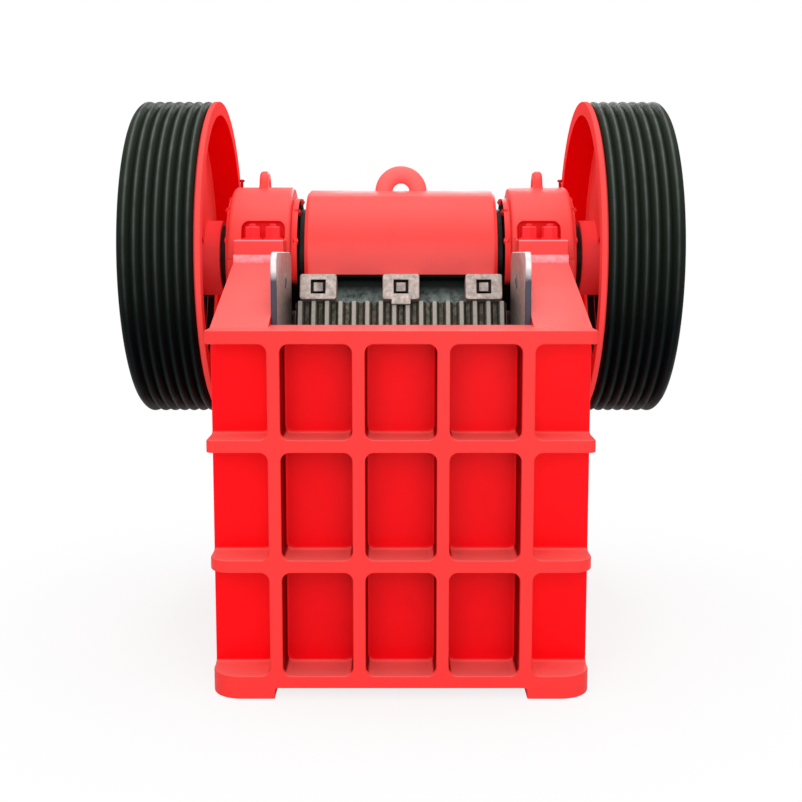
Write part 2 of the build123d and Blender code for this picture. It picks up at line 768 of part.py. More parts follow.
# Adjusting block with the rear seat of the toggle, and the shims behind it
with BuildPart() as adjusting_block:
    with BuildSketch(Plane.YZ.offset(-block_half_width)):
        with Locations((block_front_y + block_length / 2, toggle_rear_z)):
            Rectangle(block_length, block_height)
        with Locations((block_front_y, toggle_rear_z)):
            Circle(toggle_end_radius + toggle_seat_gap, mode=Mode.SUBTRACT)
    extrude(amount=2 * block_half_width)
save(adjusting_block, "adjusting_block")
with BuildPart() as shims:
    for index in range(shim_count):
        shim_y = block_front_y + block_length + shim_gap + index * (shim_thickness + shim_gap)
        with BuildSketch(Plane.XY.offset(shelf_z + shelf_thickness)):
            with Locations((0, shim_y + shim_thickness / 2)):
                Rectangle(2 * block_half_width, shim_thickness)
        extrude(amount=block_height - (index % 2) * shim_thickness)
save(shims, "adjusting_shims")

# Toggle plate between the adjusting block and the moving jaw
with BuildPart() as toggle_plate:
    with BuildSketch(Plane.YZ.offset(-toggle_half_width)):
        with BuildLine():
            Polyline(
                (toggle_front_y, toggle_front_z - toggle_thickness / 2),
                (block_front_y, toggle_rear_z - toggle_thickness / 2),
                (block_front_y, toggle_rear_z + toggle_thickness / 2),
                (toggle_front_y, toggle_front_z + toggle_thickness / 2),
                close=True,
            )
        make_face()
        with Locations((toggle_front_y, toggle_front_z), (block_front_y, toggle_rear_z)):
            Circle(toggle_end_radius)
    extrude(amount=2 * toggle_half_width)
save(toggle_plate, "toggle_plate")

# Tension rod: eye on the moving jaw, rod through the rear wall, washer and nuts
rod_end_y = front_y + overall_length
spring_front_y = rear_wall_y + seat_plate_thickness
spring_length = spring_turns * spring_pitch
washer_y = spring_front_y + spring_length + 2 * spring_wire_radius + swing_clearance
with BuildPart() as tension_rod:
    with BuildSketch(Plane.YZ.offset(-rod_radius)):
        with Locations((rod_start_y, rod_z)):
            Circle(rod_eye_radius)
    extrude(amount=2 * rod_radius)
    with BuildSketch(Plane.YZ.offset(-ear_outer_x)):
        with Locations((rod_start_y, rod_z)):
            Circle(rod_pin_radius)
    extrude(amount=2 * ear_outer_x)
    with BuildSketch(Plane((0, rod_start_y, rod_z), x_dir=(1, 0, 0), z_dir=(0, 1, 0))):
        Circle(rod_radius)
    extrude(amount=rod_end_y - rod_start_y)
    with BuildSketch(Plane((0, washer_y, rod_z), x_dir=(1, 0, 0), z_dir=(0, 1, 0))):
        Circle(washer_radius)
    extrude(amount=washer_thickness)
    with BuildSketch(Plane((0, washer_y + washer_thickness, rod_z), x_dir=(1, 0, 0), z_dir=(0, 1, 0))):
        RegularPolygon(nut_radius, hex_sides)
    extrude(amount=nut_length)
save(tension_rod, "tension_rod")

# Spring seat on the rear wall and the spring round the rod
with BuildPart() as spring_seat:
    with BuildSketch(Plane((0, rear_wall_y, rod_z + throw), x_dir=(1, 0, 0), z_dir=(0, 1, 0))):
        Circle(seat_plate_radius)
        Circle(rod_hole_radius, mode=Mode.SUBTRACT)
    extrude(amount=seat_plate_thickness)
save(spring_seat, "spring_seat")
with BuildPart() as spring:
    spring_foot = (0, spring_front_y + spring_wire_radius, rod_z + throw)
    with BuildLine() as coil:
        Helix(spring_pitch, spring_length, spring_radius, center=spring_foot, direction=(0, 1, 0))
    with BuildSketch(Plane(coil.line @ 0, z_dir=coil.line % 0)):
        RegularPolygon(spring_wire_radius, hex_sides)
    sweep(path=coil.line, is_frenet=True)
save(spring, "tension_spring")
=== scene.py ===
"""Looks of a single-toggle jaw crusher: cast frame, grooved flywheels, worn jaws and small fittings."""
import json
from contextlib import contextmanager
from math import atan2, copysign, cos, pi, radians, sin

import bmesh
import bpy
from bpy.props import FloatProperty, FloatVectorProperty, IntProperty, PointerProperty
from mathutils import Euler, Matrix, Vector


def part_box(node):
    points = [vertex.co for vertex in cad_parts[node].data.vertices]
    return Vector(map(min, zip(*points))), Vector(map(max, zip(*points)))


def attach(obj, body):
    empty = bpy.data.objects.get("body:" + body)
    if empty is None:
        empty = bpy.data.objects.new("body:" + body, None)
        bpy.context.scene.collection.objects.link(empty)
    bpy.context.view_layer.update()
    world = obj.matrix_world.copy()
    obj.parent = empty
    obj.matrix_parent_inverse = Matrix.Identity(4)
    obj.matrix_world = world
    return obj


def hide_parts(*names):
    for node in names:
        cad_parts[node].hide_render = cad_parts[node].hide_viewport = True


bl_info = {
    "name": "Jaw crusher",
    "version": (1, 0, 0),
    "blender": (4, 5, 0),
    "location": "3D View > Sidebar > Crusher",
    "description": "Dresses the packed jaw crusher with cast edges, fittings and finishes",
    "category": "Object",
}

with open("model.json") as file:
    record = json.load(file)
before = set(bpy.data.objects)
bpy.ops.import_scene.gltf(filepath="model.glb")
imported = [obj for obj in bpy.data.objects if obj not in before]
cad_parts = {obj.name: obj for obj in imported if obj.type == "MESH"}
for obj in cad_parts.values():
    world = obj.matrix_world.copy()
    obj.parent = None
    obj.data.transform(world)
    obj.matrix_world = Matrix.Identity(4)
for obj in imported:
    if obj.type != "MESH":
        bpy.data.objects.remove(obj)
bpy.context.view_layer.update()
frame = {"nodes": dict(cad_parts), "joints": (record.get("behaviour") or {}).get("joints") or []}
nodes = frame["nodes"]
joint_places = {joint["name"]: Vector(joint["pos_m"]) for joint in frame["joints"]}
shaft = joint_places["shaft_spin"]
head = joint_places["jaw_swing"]
front_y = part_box("rib_ring_bottom")[0].y
SIDES = {"left": -1, "right": 1}

# Lengths are in metres
TOUCH = 0.001  # reach within which a point counts as lying on a plane
PLAN_CORNER = 0.018  # radius of the CAD ribs' corners, seen from above
FOOT_CORNER = 0.092  # the same of the visual's feet and bottom rib
RIB_CORNER = 0.065  # the same of the visual's lower rib
RIB_RIM = 0.016  # width of the ribs' edges that keep the outer red
LAST_RIDGE = 0.0071  # by which a flywheel's outermost ridge is wider than the others
RIM_TURNED = 0.0035  # how far the rim is turned down below the foot of the ridges
TREAD_FOOT = 0.004  # how far the tread's foot reaches down, just into the rim
LEAN = radians(22)  # lean of the moving jaw's plate
OUT = Vector((0, -cos(LEAN), sin(LEAN)))
ALONG = Vector((0, sin(LEAN), cos(LEAN)))
JAW_PLATE = 0.060  # thickness of the moving jaw's plate
CLAMP_DROP = 0.149  # from the jaw head's middle down to the clamps' foot
CLAMP_FOOT = Vector((0, shaft.y - 0.256, head.z - CLAMP_DROP))
CLAMP_PITCH = 0.284
POCKET_RISE = 0.049  # from the clamps' foot to the middle of their pockets
POCKET_HALF = 0.0275
CAP_EYE_FOOT = shaft.z + 0.262

frame_nodes = [
    "base_rail_left", "base_rail_right", "rib_ring_bottom", "rib_ring_lower", "rib_ring_upper", "rib_top",
    "front_wall", "front_upright_1", "front_upright_2", "front_upright_3", "front_upright_4",
    "side_upright_front_left", "side_upright_front_right", "side_upright_rear_left", "side_upright_rear_right",
    "rear_upright_left", "rear_upright_right", "side_wall_left", "side_wall_right",
    "top_flange_left", "top_flange_right", "rear_wall",
]
FINISHES = (
    ("ring_", "seal black"), ("moving_jaw_plate", "moving jaw steel"), ("fixed_jaw", "fixed jaw steel"),
    ("jaw_clamps", "clamp steel"), ("cheek", "cheek steel"), ("eccentric_shaft", "bare steel"),
    ("tension_rod", "bare steel"), ("adjusting_shims", "bare steel"), ("toggle", "bare steel"),
    ("tension_spring", "spring steel"), ("moving_jaw_body", "jaw body enamel"),
    ("bearing_", "cap enamel"), ("cover_", "cover enamel"), ("flywheel", "wheel enamel"), ("", "red enamel"),
)


def colour(name, description, *rgb):
    """A colour property."""
    return FloatVectorProperty(name=name, description=description, subtype="COLOR", size=4,
                               default=(*rgb, 1), min=0, max=1)


def length(name, description, default, low, high):
    """A length property."""
    return FloatProperty(name=name, description=description, default=default, min=low, max=high,
                         unit="LENGTH", precision=4)


class CrusherColours(bpy.types.PropertyGroup):
    """Colours of the crusher's finishes."""

    rib: colour("Rib enamel", "Red enamel on the outer faces of the frame's ribs", 0.93, 0.042, 0.040)
    barrel: colour("Barrel enamel", "Red enamel of the bearing caps and the jaw head", 0.95, 0.078, 0.072)
    wheel: colour("Wheel enamel", "Red enamel of the flywheels", 1.0, 0.078, 0.074)
    nut: colour("Nut enamel", "Red enamel of the cap nuts", 0.97, 0.040, 0.048)
    cup: colour("Cup", "Dark red enamel of the grease cups", 0.42, 0.002, 0.006)
    # painted highlight laid over the faces that look upwards
    upward_highlight: colour("Upward highlight", "Painted highlight on upward faces", 1.0, 0.150, 0.138)
    # painted shade on the panels set back behind the front ribs
    recess: colour("Recess shade", "Painted shade, deep red, on the panels inside the front pockets", 0.93, 0.0015, 0.006)
    # painted shade in the caps' arched recesses
    cap_recess_shade: colour("Cap recess", "Painted shade, deep red, in the caps' arched recesses", 0.95, 0.010, 0.018)
    # painted shade on the inner sides of the front pockets; also the dark that the enamel's grime patches turn
    # towards
    shade: colour("Shade", "Painted shade on the inner sides of the front pockets, and the dark of the enamel's grime patches", 0.15, 0.0, 0.001)
    # painted highlight on the fillets of the sloping flanges
    fillet: colour("Fillet", "Painted highlight, pale and mottled, on the fillets at the top of the sloping flanges", 1.0, 0.42, 0.46)
    # painted highlight along the edge at the foot of the caps
    rubbed: colour("Cap foot highlight", "Painted highlight along the edge at the foot of the caps", 1.0, 0.36, 0.40)
    # painted shade on the walls of the crushing chamber
    chamber: colour("Chamber", "Painted shade, near black, on the walls of the crushing chamber", 0.004, 0.005, 0.003)
    # painted shade inside the flywheels' rims
    rim: colour("Rim", "Painted shade, deep red, inside the flywheels' rims", 0.80, 0.0015, 0.004)
    hub: colour("Hub", "Red enamel of the flywheels' hubs", 1.0, 0.078, 0.082)
    # painted light on the jaw head's faces that look downwards
    jaw_underside_light: colour("Jaw, low", "Painted light on the jaw head's faces that look downwards", 1.0, 0.128, 0.120)
    jaw_ring: colour("Lifting ring", "Pale red of the jaw head's lifting ring", 1.0, 0.165, 0.155)
    # painted shade at both ends of the jaw head
    jaw_end_shade: colour("Jaw ends", "Painted shade, deep red, at both ends of the jaw head", 1.0, 0.020, 0.024)
    # painted shade on the jaw's seat between the clamps
    jaw_seat_shade: colour("Jaw seat", "Painted shade, black, on the jaw's seat between the clamps", 0.002, 0.006, 0.005)
    tread: colour("Tread", "Black of the flywheels' grooved treads", 0.001, 0.003, 0.003)
    # painted sheen in the grooves that look upwards
    groove_sheen: colour("Groove, high", "Painted sheen, greenish black, in the grooves that look upwards", 0.026, 0.034, 0.022)
    # painted shade on the ridges that look downwards
    ridge_shade: colour("Ridge, low", "Painted shade, black, on the ridges that look downwards", 0.004, 0.009, 0.010)
    # painted highlight on the ridges that look upwards
    ridge: colour("Ridge, high", "Painted highlight, grey, on the ridges that look upwards", 0.130, 0.150, 0.138)
    # the sealing rings' own black; also painted black shade on cap, housing and cover faces turned to the jaw or low
    # down, and the black beyond the flywheels' webs
    seal: colour("Seal", "Black of the sealing rings and of greasy faces", 0.010, 0.004, 0.004)
    grease: colour("Grease", "Brown grease on the sealing rings", 0.03, 0.022, 0.018)
    crest: colour("Crest", "Rubbed steel on the crests of the jaw teeth", 0.36, 0.325, 0.285)
    root: colour("Root", "Dark scale between the jaw teeth", 0.062, 0.042, 0.030)
    root_green: colour("Root, green", "Greenish scale between the jaw teeth", 0.036, 0.042, 0.018)
    clamp: colour("Clamp", "Cast steel of the jaw clamps", 0.70, 0.58, 0.53)
    clamp_low: colour("Clamp, low", "Dark hollows of the clamps' cast skin", 0.10, 0.08, 0.06)
    clamp_dust: colour("Clamp dust", "Dust on the clamps", 0.36, 0.37, 0.33)
    # painted shade in the clamps' square pockets
    pocket_shade: colour("Pocket", "Painted shade on the sides of the clamps' square pockets", 0.012, 0.011, 0.009)
    dust: colour("Dust", "Grey-green stone dust", 0.27, 0.33, 0.31)
    cheek: colour("Cheek", "Scuffed inner faces of the cheek plates", 0.66, 0.57, 0.52)
    cheek_low: colour("Cheek, low", "Dark hollows of the cheek plates' skin", 0.22, 0.18, 0.165)
    # painted shade low down at the rear of the cheek plates
    cheek_shade: colour("Cheek, deep", "Painted shade low down at the rear of the cheek plates", 0.020, 0.017, 0.013)
    # dark cut edges with a painted bluish reflection
    cut_edge_and_reflection: colour("Cut edge", "Dark cut edges of the cheek plates, with a painted bluish reflection", 0.05, 0.058, 0.085)
    pale_edge: colour("Pale edge", "Rubbed top corners of the cheek plates", 0.74, 0.72, 0.72)
    bare: colour("Bare steel", "Machined steel of the shaft and rod", 0.42, 0.42, 0.43)
    spring: colour("Spring", "Oiled black of the spring", 0.02, 0.02, 0.022)
    floor: colour("Floor", "Pale floor and backdrop", 0.93, 0.93, 0.93)


class CrusherSizes(bpy.types.PropertyGroup):
    """Sizes of the cast edges and small fittings."""

    cast_fillet: length("Cast fillet", "Radius of the inner corners of the frame", 0.010, 0.001, 0.02)
    cast_edge: length("Cast edge", "Radius of the outer edges of the frame", 0.004, 0.0005, 0.01)
    ridge_height: length("Ridge height", "Height of the rounded ridges between the grooves", 0.015, 0.005, 0.03)
    ridge_pitch: length("Ridge pitch", "Distance between two belt grooves", 0.0344, 0.02, 0.05)
    ridge_count: IntProperty(name="Ridges", description="Number of rounded ridges on a flywheel",
                             default=7, min=1, max=12)
    nut_width: length("Nut width", "Width across the corners of the bearing cap nuts", 0.055, 0.02, 0.1)
    nut_height: length("Nut height", "Height of the bearing cap nuts", 0.042, 0.01, 0.1)
    cover_bolt: length("Cover bolt", "Width across the corners of the bearing cover bolts", 0.027, 0.01, 0.05)
    cover_bolt_count: IntProperty(name="Cover bolts", description="Bolts round one bearing cover",
                                  default=10, min=4, max=24)
    square_head: length("Square head", "Side of the clamps' square bolt heads", 0.035, 0.01, 0.048)
    spring_turns: FloatProperty(name="Turns", description="Turns of the spring's wire", default=4.0, min=1, max=12)


def colours():
    """The colours kept in the scene."""
    return bpy.context.scene.crusher_colours


def sizes():
    """The sizes kept in the scene."""
    return bpy.context.scene.crusher_sizes


def wheel_shape(side):
    """A flywheel's outer face, its radius and the start of its ridges, the faces as distances from the middle."""
    low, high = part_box(f"flywheel_{side}")
    outer_x = max(abs(low.x), abs(high.x))
    return outer_x, (high.z - low.z) / 2, outer_x - sizes().ridge_pitch * sizes().ridge_count - LAST_RIDGE


# Mesh helpers


def alone(piece):
    """Select one object and make it the active one."""
    if bpy.context.mode != "OBJECT":
        bpy.ops.object.mode_set(mode="OBJECT")
    bpy.ops.object.select_all(action="DESELECT")
    piece.select_set(True)
    bpy.context.view_layer.objects.active = piece


@contextmanager
def editing(piece, chosen=None, kind="FACE"):
    """Edit a piece with all of it selected, or with only the faces or edges that are chosen; gives those."""
    alone(piece)
    bpy.ops.object.mode_set(mode="EDIT")
    bpy.ops.mesh.select_mode(type=kind)
    bpy.ops.mesh.select_all(action="DESELECT" if chosen else "SELECT")
    picked = []
    if chosen:
        mesh = bmesh.from_edit_mesh(piece.data)
        picked = [element for element in (mesh.edges if kind == "EDGE" else mesh.faces) if chosen(element)]
        for element in picked:
            element.select = True
        mesh.select_flush_mode()
        bmesh.update_edit_mesh(piece.data)
    yield picked
    bpy.ops.object.mode_set(mode="OBJECT")


def upper(face):
    """Whether a face looks straight up."""
    return face.normal.z > 0.9


def join(pieces):
    """Make one object of several."""
    alone(pieces[0])
    for piece in pieces[1:]:
        piece.select_set(True)
    if len(pieces) > 1:
        bpy.ops.object.join()
    return pieces[0]


def apply_place(piece):
    """Put a piece's place into its mesh, so that the object lies at the origin."""
    alone(piece)
    bpy.ops.object.transform_apply(location=True, rotation=True, scale=True)


def add(primitive, **values):
    """Add a primitive mesh with its place applied."""
    bpy.ops.object.select_all(action="DESELECT")
    primitive(**values)
    made = bpy.context.object
    apply_place(made)
    return made


def modify(piece, kind, **values):
    """Apply a modifier to a piece."""
    alone(piece)
    made = piece.modifiers.new(kind.lower(), kind)
    for key, value in values.items():
        setattr(made, key, value)
    bpy.ops.object.modifier_apply(modifier=made.name)


def clean(piece, reach):
    """Merge the points within reach of each other, and the faces that lie in one plane."""
    with editing(piece):
        bpy.ops.mesh.remove_doubles(threshold=reach)
        bpy.ops.mesh.dissolve_limited(angle_limit=radians(0.5))


def recalculate(piece):
    """Merge doubled points and turn all faces outwards."""
    with editing(piece):
        bpy.ops.mesh.remove_doubles(threshold=0.00002)
        bpy.ops.mesh.normals_make_consistent(inside=False)


def paint(piece, finish):
    """Give a piece its one finish."""
    piece.data.materials.clear()
    piece.data.materials.append(bpy.data.materials[finish])


def finish_piece(piece, name, body, finish, smooth=35):
    """Name a piece, give it its finish and let it ride on its body."""
    apply_place(piece)
    piece.name = name
    piece.data.name = name
    paint(piece, finish)
    bpy.ops.object.shade_smooth_by_angle(angle=radians(smooth), keep_sharp_edges=True)
    modify(piece, "WEIGHTED_NORMAL", keep_sharp=True, weight=80)
    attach(piece, body)


def stand_in(piece, name, new_name, body, finish, smooth=35):
    """Close a reworked piece and let it stand in for its CAD node."""
    recalculate(piece)
    finish_piece(piece, new_name, body, finish, smooth)
    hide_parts(name)


def copies(model, places):
    """Copy a modelled piece to each place and turn, join the copies and remove the model."""
    made = []
    for place, turn in places:
        alone(model)
        bpy.ops.object.duplicate(linked=False)
        copy = bpy.context.view_layer.objects.active
        copy.rotation_euler = turn
        copy.location = place
        apply_place(copy)
        made.append(copy)
    bpy.data.objects.remove(model)
    return join(made)


def node_copy(name):
    """A merged copy of a CAD node, its flat faces in one piece."""
    alone(nodes[name])
    bpy.ops.object.duplicate(linked=False)
    copy = bpy.context.view_layer.objects.active
    for key in [key for key in copy.keys() if key.startswith("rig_")]:
        del copy[key]
    copy.parent = None
    clean(copy, 0.00001)
    return copy


def steady_normals(piece, area):
    """Shade large faces flat, and start the rounded strips beside them in the same direction."""
    mesh = piece.data
    large = {}
    for face in mesh.polygons:
        if face.area > area:
            for corner in face.vertices:
                large.setdefault(corner, []).append(face.normal)
    normals = [corner.vector.copy() for corner in mesh.corner_normals]
    for face in mesh.polygons:
        for loop, corner in zip(face.loop_indices, face.vertices):
            if face.area > area:
                normals[loop] = face.normal
            elif corner in large:
                nearest = max(large[corner], key=face.normal.dot)
                if nearest.dot(face.normal) > 0.6:
                    normals[loop] = nearest
    mesh.normals_split_custom_set([tuple(normal) for normal in normals])


def round_edges(piece, convex, radius, segments, angle, keep=lambda middle: True):
    """Round the outer or the inner edges of a piece that turn more sharply than the angle."""

    def sharp(edge):
        """Whether an edge is one of those to round."""
        return (edge.is_manifold and edge.is_convex == convex and edge.calc_face_angle(0) > radians(angle)
                and keep((edge.verts[0].co + edge.verts[1].co) / 2))

    with editing(piece, sharp, "EDGE") as picked:
        if picked:
            bpy.ops.mesh.bevel(offset=radius, segments=segments, profile=0.5, affect="EDGES", clamp_overlap=False)


def widen_corners(piece, box, radius, floor, ceiling):
    """Open the rounded upright corners of a box shape to a larger radius, between two heights."""
    middle = (box[0] + box[1]) / 2
    half = (box[1] - box[0]) / 2
    for point in piece.data.vertices:
        place = point.co
        across = abs(place.x - middle.x) - half.x + PLAN_CORNER
        along = abs(place.y - middle.y) - half.y + PLAN_CORNER
        if floor < place.z < ceiling and min(across, along) > -0.0001:
            turn = atan2(max(along, 0), max(across, 0))
            place.x = middle.x + copysign(half.x - radius + radius * cos(turn), place.x - middle.x)
            place.y = middle.y + copysign(half.y - radius + radius * sin(turn), place.y - middle.y)


def soften(name, new_name, body, finish, radius, inner=0.0):
    """Stand a copy with rounded edges in for a CAD node."""
    piece = node_copy(name)
    if inner:
        round_edges(piece, False, inner, 3, 40)
    round_edges(piece, True, radius, 2, 40)
    stand_in(piece, name, new_name, body, finish)


# Shader helpers


class Signal:
    """An output in a shader tree, which can be reckoned with like a number."""

    def __init__(self, tree, socket):
        self.tree = tree
        self.socket = socket

    def reckon(self, operation, first, second=0.0):
        """One sum."""
        return Signal(self.tree, node(self.tree, "ShaderNodeMath", [(0, first), (1, second)],
                                      operation=operation).outputs[0])

    def __add__(self, other):
        return self.reckon("ADD", self, other)

    def __sub__(self, other):
        return self.reckon("SUBTRACT", self, other)

    def __rsub__(self, other):
        return self.reckon("SUBTRACT", other, self)

    def __mul__(self, other):
        return self.reckon("MULTIPLY", self, other)

    def __truediv__(self, other):
        return self.reckon("DIVIDE", self, other)

    def __abs__(self):
        return self.reckon("ABSOLUTE", self)

    def most(self, other):
        """The larger of two."""
        return self.reckon("MAXIMUM", self, other)

    def least(self, other):
        """The smaller of two."""
        return self.reckon("MINIMUM", self, other)

    def span(self, low, high, start=0.0, end=1.0):
        """Stretched from one range to another, clamped."""
        made = node(self.tree, "ShaderNodeMapRange", [("Value", self), ("From Min", low), ("From Max", high),
                                                      ("To Min", start), ("To Max", end)])
        return Signal(self.tree, made.outputs["Result"])

    def within(self, low, high, soft=0.001):
        """1 where it lies between two bounds, 0 elsewhere."""
        return self.span(low - soft, low + soft) * self.span(high - soft, high + soft, 1.0, 0.0)

    def parts(self):
        """X, Y and Z of a vector."""
        made = node(self.tree, "ShaderNodeSeparateXYZ", [("Vector", self)])
        return [Signal(self.tree, socket) for socket in made.outputs]

    def measure(self, operation, *others):
        """A number taken from a vector."""
        made = node(self.tree, "ShaderNodeVectorMath", list(enumerate((self, *others))), operation=operation)
        return Signal(self.tree, made.outputs["Value"])


def node(tree, kind, links=(), **values):
    """Add a shader node, set its fields and feed its inputs."""
    made = tree.nodes.new(kind)
    for key, value in values.items():
        setattr(made, key, value)
    for socket, source in links:
        if isinstance(source, Signal):
            tree.links.new(source.socket, made.inputs[socket])
        else:
            made.inputs[socket].default_value = source if isinstance(source, (int, float)) else tuple(source)
    return made


def signals(tree, made):
    """The outputs of a node by name."""
    return {socket.name: Signal(tree, socket) for socket in made.outputs}


def deliver(target, **results):
    """Feed a node's inputs, named with underscores for spaces."""
    for name, source in results.items():
        source.tree.links.new(source.socket, target.inputs[name.replace("_", " ")])


def noise(vector, scale, detail=2.0, rough=0.5):
    """A noise texture's value."""
    made = node(vector.tree, "ShaderNodeTexNoise",
                [("Vector", vector), ("Scale", scale), ("Detail", detail), ("Roughness", rough)])
    return Signal(vector.tree, made.outputs["Fac"])


def mix(factor, first, second):
    """Blend two colours."""
    made = node(factor.tree, "ShaderNodeMix", [(0, factor), (6, first), (7, second)], data_type="RGBA")
    return Signal(factor.tree, made.outputs[2])


def diagonal(first, second):
    """Length of two distances at a right angle."""
    flat = node(first.tree, "ShaderNodeCombineXYZ", [(0, first), (1, second)])
    return Signal(first.tree, flat.outputs[0]).measure("LENGTH")


def shaft_distance(depth, height):
    """Distance of a point from the shaft's axis."""
    return diagonal(depth - shaft.y, height - shaft.z)


def jaw_out(place):
    """Distance of a point in front of the moving jaw's seat."""
    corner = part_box("moving_jaw_plate")[1]
    seat = OUT.dot(Vector((0, corner.y, corner.z))) - JAW_PLATE * sin(LEAN) * sin(LEAN)
    return place.measure("DOT_PRODUCT", OUT) - seat


def socket_group(name, inputs, outputs):
    """A new shader group with its sockets; gives its inputs by name and its output node."""
    group = bpy.data.node_groups.new(name, "ShaderNodeTree")
    for socket, kind, default in inputs:
        made = group.interface.new_socket(name=socket, in_out="INPUT", socket_type=f"NodeSocket{kind}")
        if default is not None:
            made.default_value = default
    for socket, kind in outputs:
        group.interface.new_socket(name=socket, in_out="OUTPUT", socket_type=f"NodeSocket{kind}")
    return signals(group, group.nodes.new("NodeGroupInput")), group.nodes.new("NodeGroupOutput")


def build_enamel_film():
    """Group: the slight waves, flow and dirt of a sprayed enamel film on a casting."""
    start, end = socket_group("Enamel film", [("Vector", "Vector", None), ("Grime", "Float", 0.15)],
                              [("Shade", "Float"), ("Roughness", "Float"), ("Height", "Float")])
    place = start["Vector"]
    waves = noise(place, 7.0, 3.0)
    grain = noise(place, 420.0, 2.0)
    cast = noise(place, 95.0, 3.0)
    patches = noise(place, 13.0, 4.0, 0.6).span(0.52, 0.78)
    deliver(end, Shade=patches * start["Grime"], Roughness=waves.span(0.3, 0.7, 0.30, 0.42),
            Height=cast * 0.7 + grain * 0.3)


def build_stone_dust():
    """Group: stone dust settled on upward faces and in patches."""
    start, end = socket_group("Stone dust", [("Vector", "Vector", None), ("Normal", "Vector", None),
                                             ("Amount", "Float", 0.5)], [("Mask", "Float")])
    up = start["Normal"].parts()[2]
    patches = noise(start["Vector"], 26.0, 5.0, 0.62).span(0.38, 0.66)
    deliver(end, Mask=up.span(-0.1, 0.9, 0.25, 1.0) * patches * start["Amount"])


def build_worn_steel():
    """Group: rough cast steel, dark in its hollows and rubbed bright where stone slides."""
    start, end = socket_group(
        "Worn steel",
        [("Vector", "Vector", None), ("Rub", "Float", 0.5),
         ("Low", "Color", (0.05, 0.04, 0.03, 1)), ("High", "Color", (0.5, 0.45, 0.4, 1))],
        [("Color", "Color"), ("Roughness", "Float"), ("Metallic", "Float"), ("Height", "Float")],
    )
    spots = noise(start["Vector"], 60.0, 6.0, 0.65)
    pits = noise(start["Vector"], 240.0, 3.0, 0.6)
    level = (start["Rub"] + spots.span(0.3, 0.7, -0.28, 0.28)).span(0.1, 0.9)
    deliver(end, Color=mix(level, start["Low"], start["High"]), Roughness=level.span(0.0, 1.0, 0.75, 0.46),
            Metallic=level.span(0.0, 1.0, 0.15, 0.55), Height=spots * 0.6 + pits * 0.4)


def grouped(tree, name, **inputs):
    """Place a shared group in a material and give its outputs by name."""
    return signals(tree, node(tree, "ShaderNodeGroup", inputs.items(), node_tree=bpy.data.node_groups[name]))


def new_finish(name, **constants):
    """A material with its shader's constants set; gives its shader and the object place and normal."""
    finish = bpy.data.materials.new(name)
    finish.use_nodes = True
    tree = finish.node_tree
    shader = tree.nodes["Principled BSDF"]
    for socket, value in constants.items():
        shader.inputs[socket.replace("_", " ")].default_value = value
    here = signals(tree, tree.nodes.new("ShaderNodeTexCoord"))
    return shader, here["Object"], here["Normal"]


def bump(shader, height, strength, distance):
    """Feed a height to the shader's normal."""
    made = node(height.tree, "ShaderNodeBump", [("Height", height), ("Strength", strength), ("Distance", distance)])
    deliver(shader, Normal=Signal(height.tree, made.outputs["Normal"]))


def enamel_finish(name, face, masks=None, upward_highlight=0.55, gloss=0.09):
    """Enamel over a casting, with a painted highlight on the faces that look upwards; masks gives pairs of mask and
    colour to lay over its face colour, the last one dull.
    """
    shader, place, normal = new_finish(name, Specular_IOR_Level=gloss)
    film = grouped(place.tree, "Enamel film", Vector=place, Grime=0.06)
    # painted highlight on the faces that look upwards
    laid = mix(normal.parts()[2].span(0.35, 0.95) * upward_highlight, face, colours().upward_highlight)
    rough = film["Roughness"]
    for mask, over in masks(place, normal) if masks else ():
        laid = mix(mask, laid, over)
        rough = film["Roughness"].most(mask)
    deliver(shader, Base_Color=mix(film["Shade"], laid, colours().shade), Roughness=rough)
    bump(shader, film["Height"], 0.08, 0.0010)


def steel_finish(shader, place, rub, low, high, strength):
    """Feed the worn steel group to a shader, all but its colour, which is given."""
    steel = grouped(place.tree, "Worn steel", Vector=place, Rub=rub, Low=low, High=high)
    deliver(shader, Roughness=steel["Roughness"], Metallic=steel["Metallic"])
    bump(shader, steel["Height"], strength, 0.002)
    return steel["Color"]


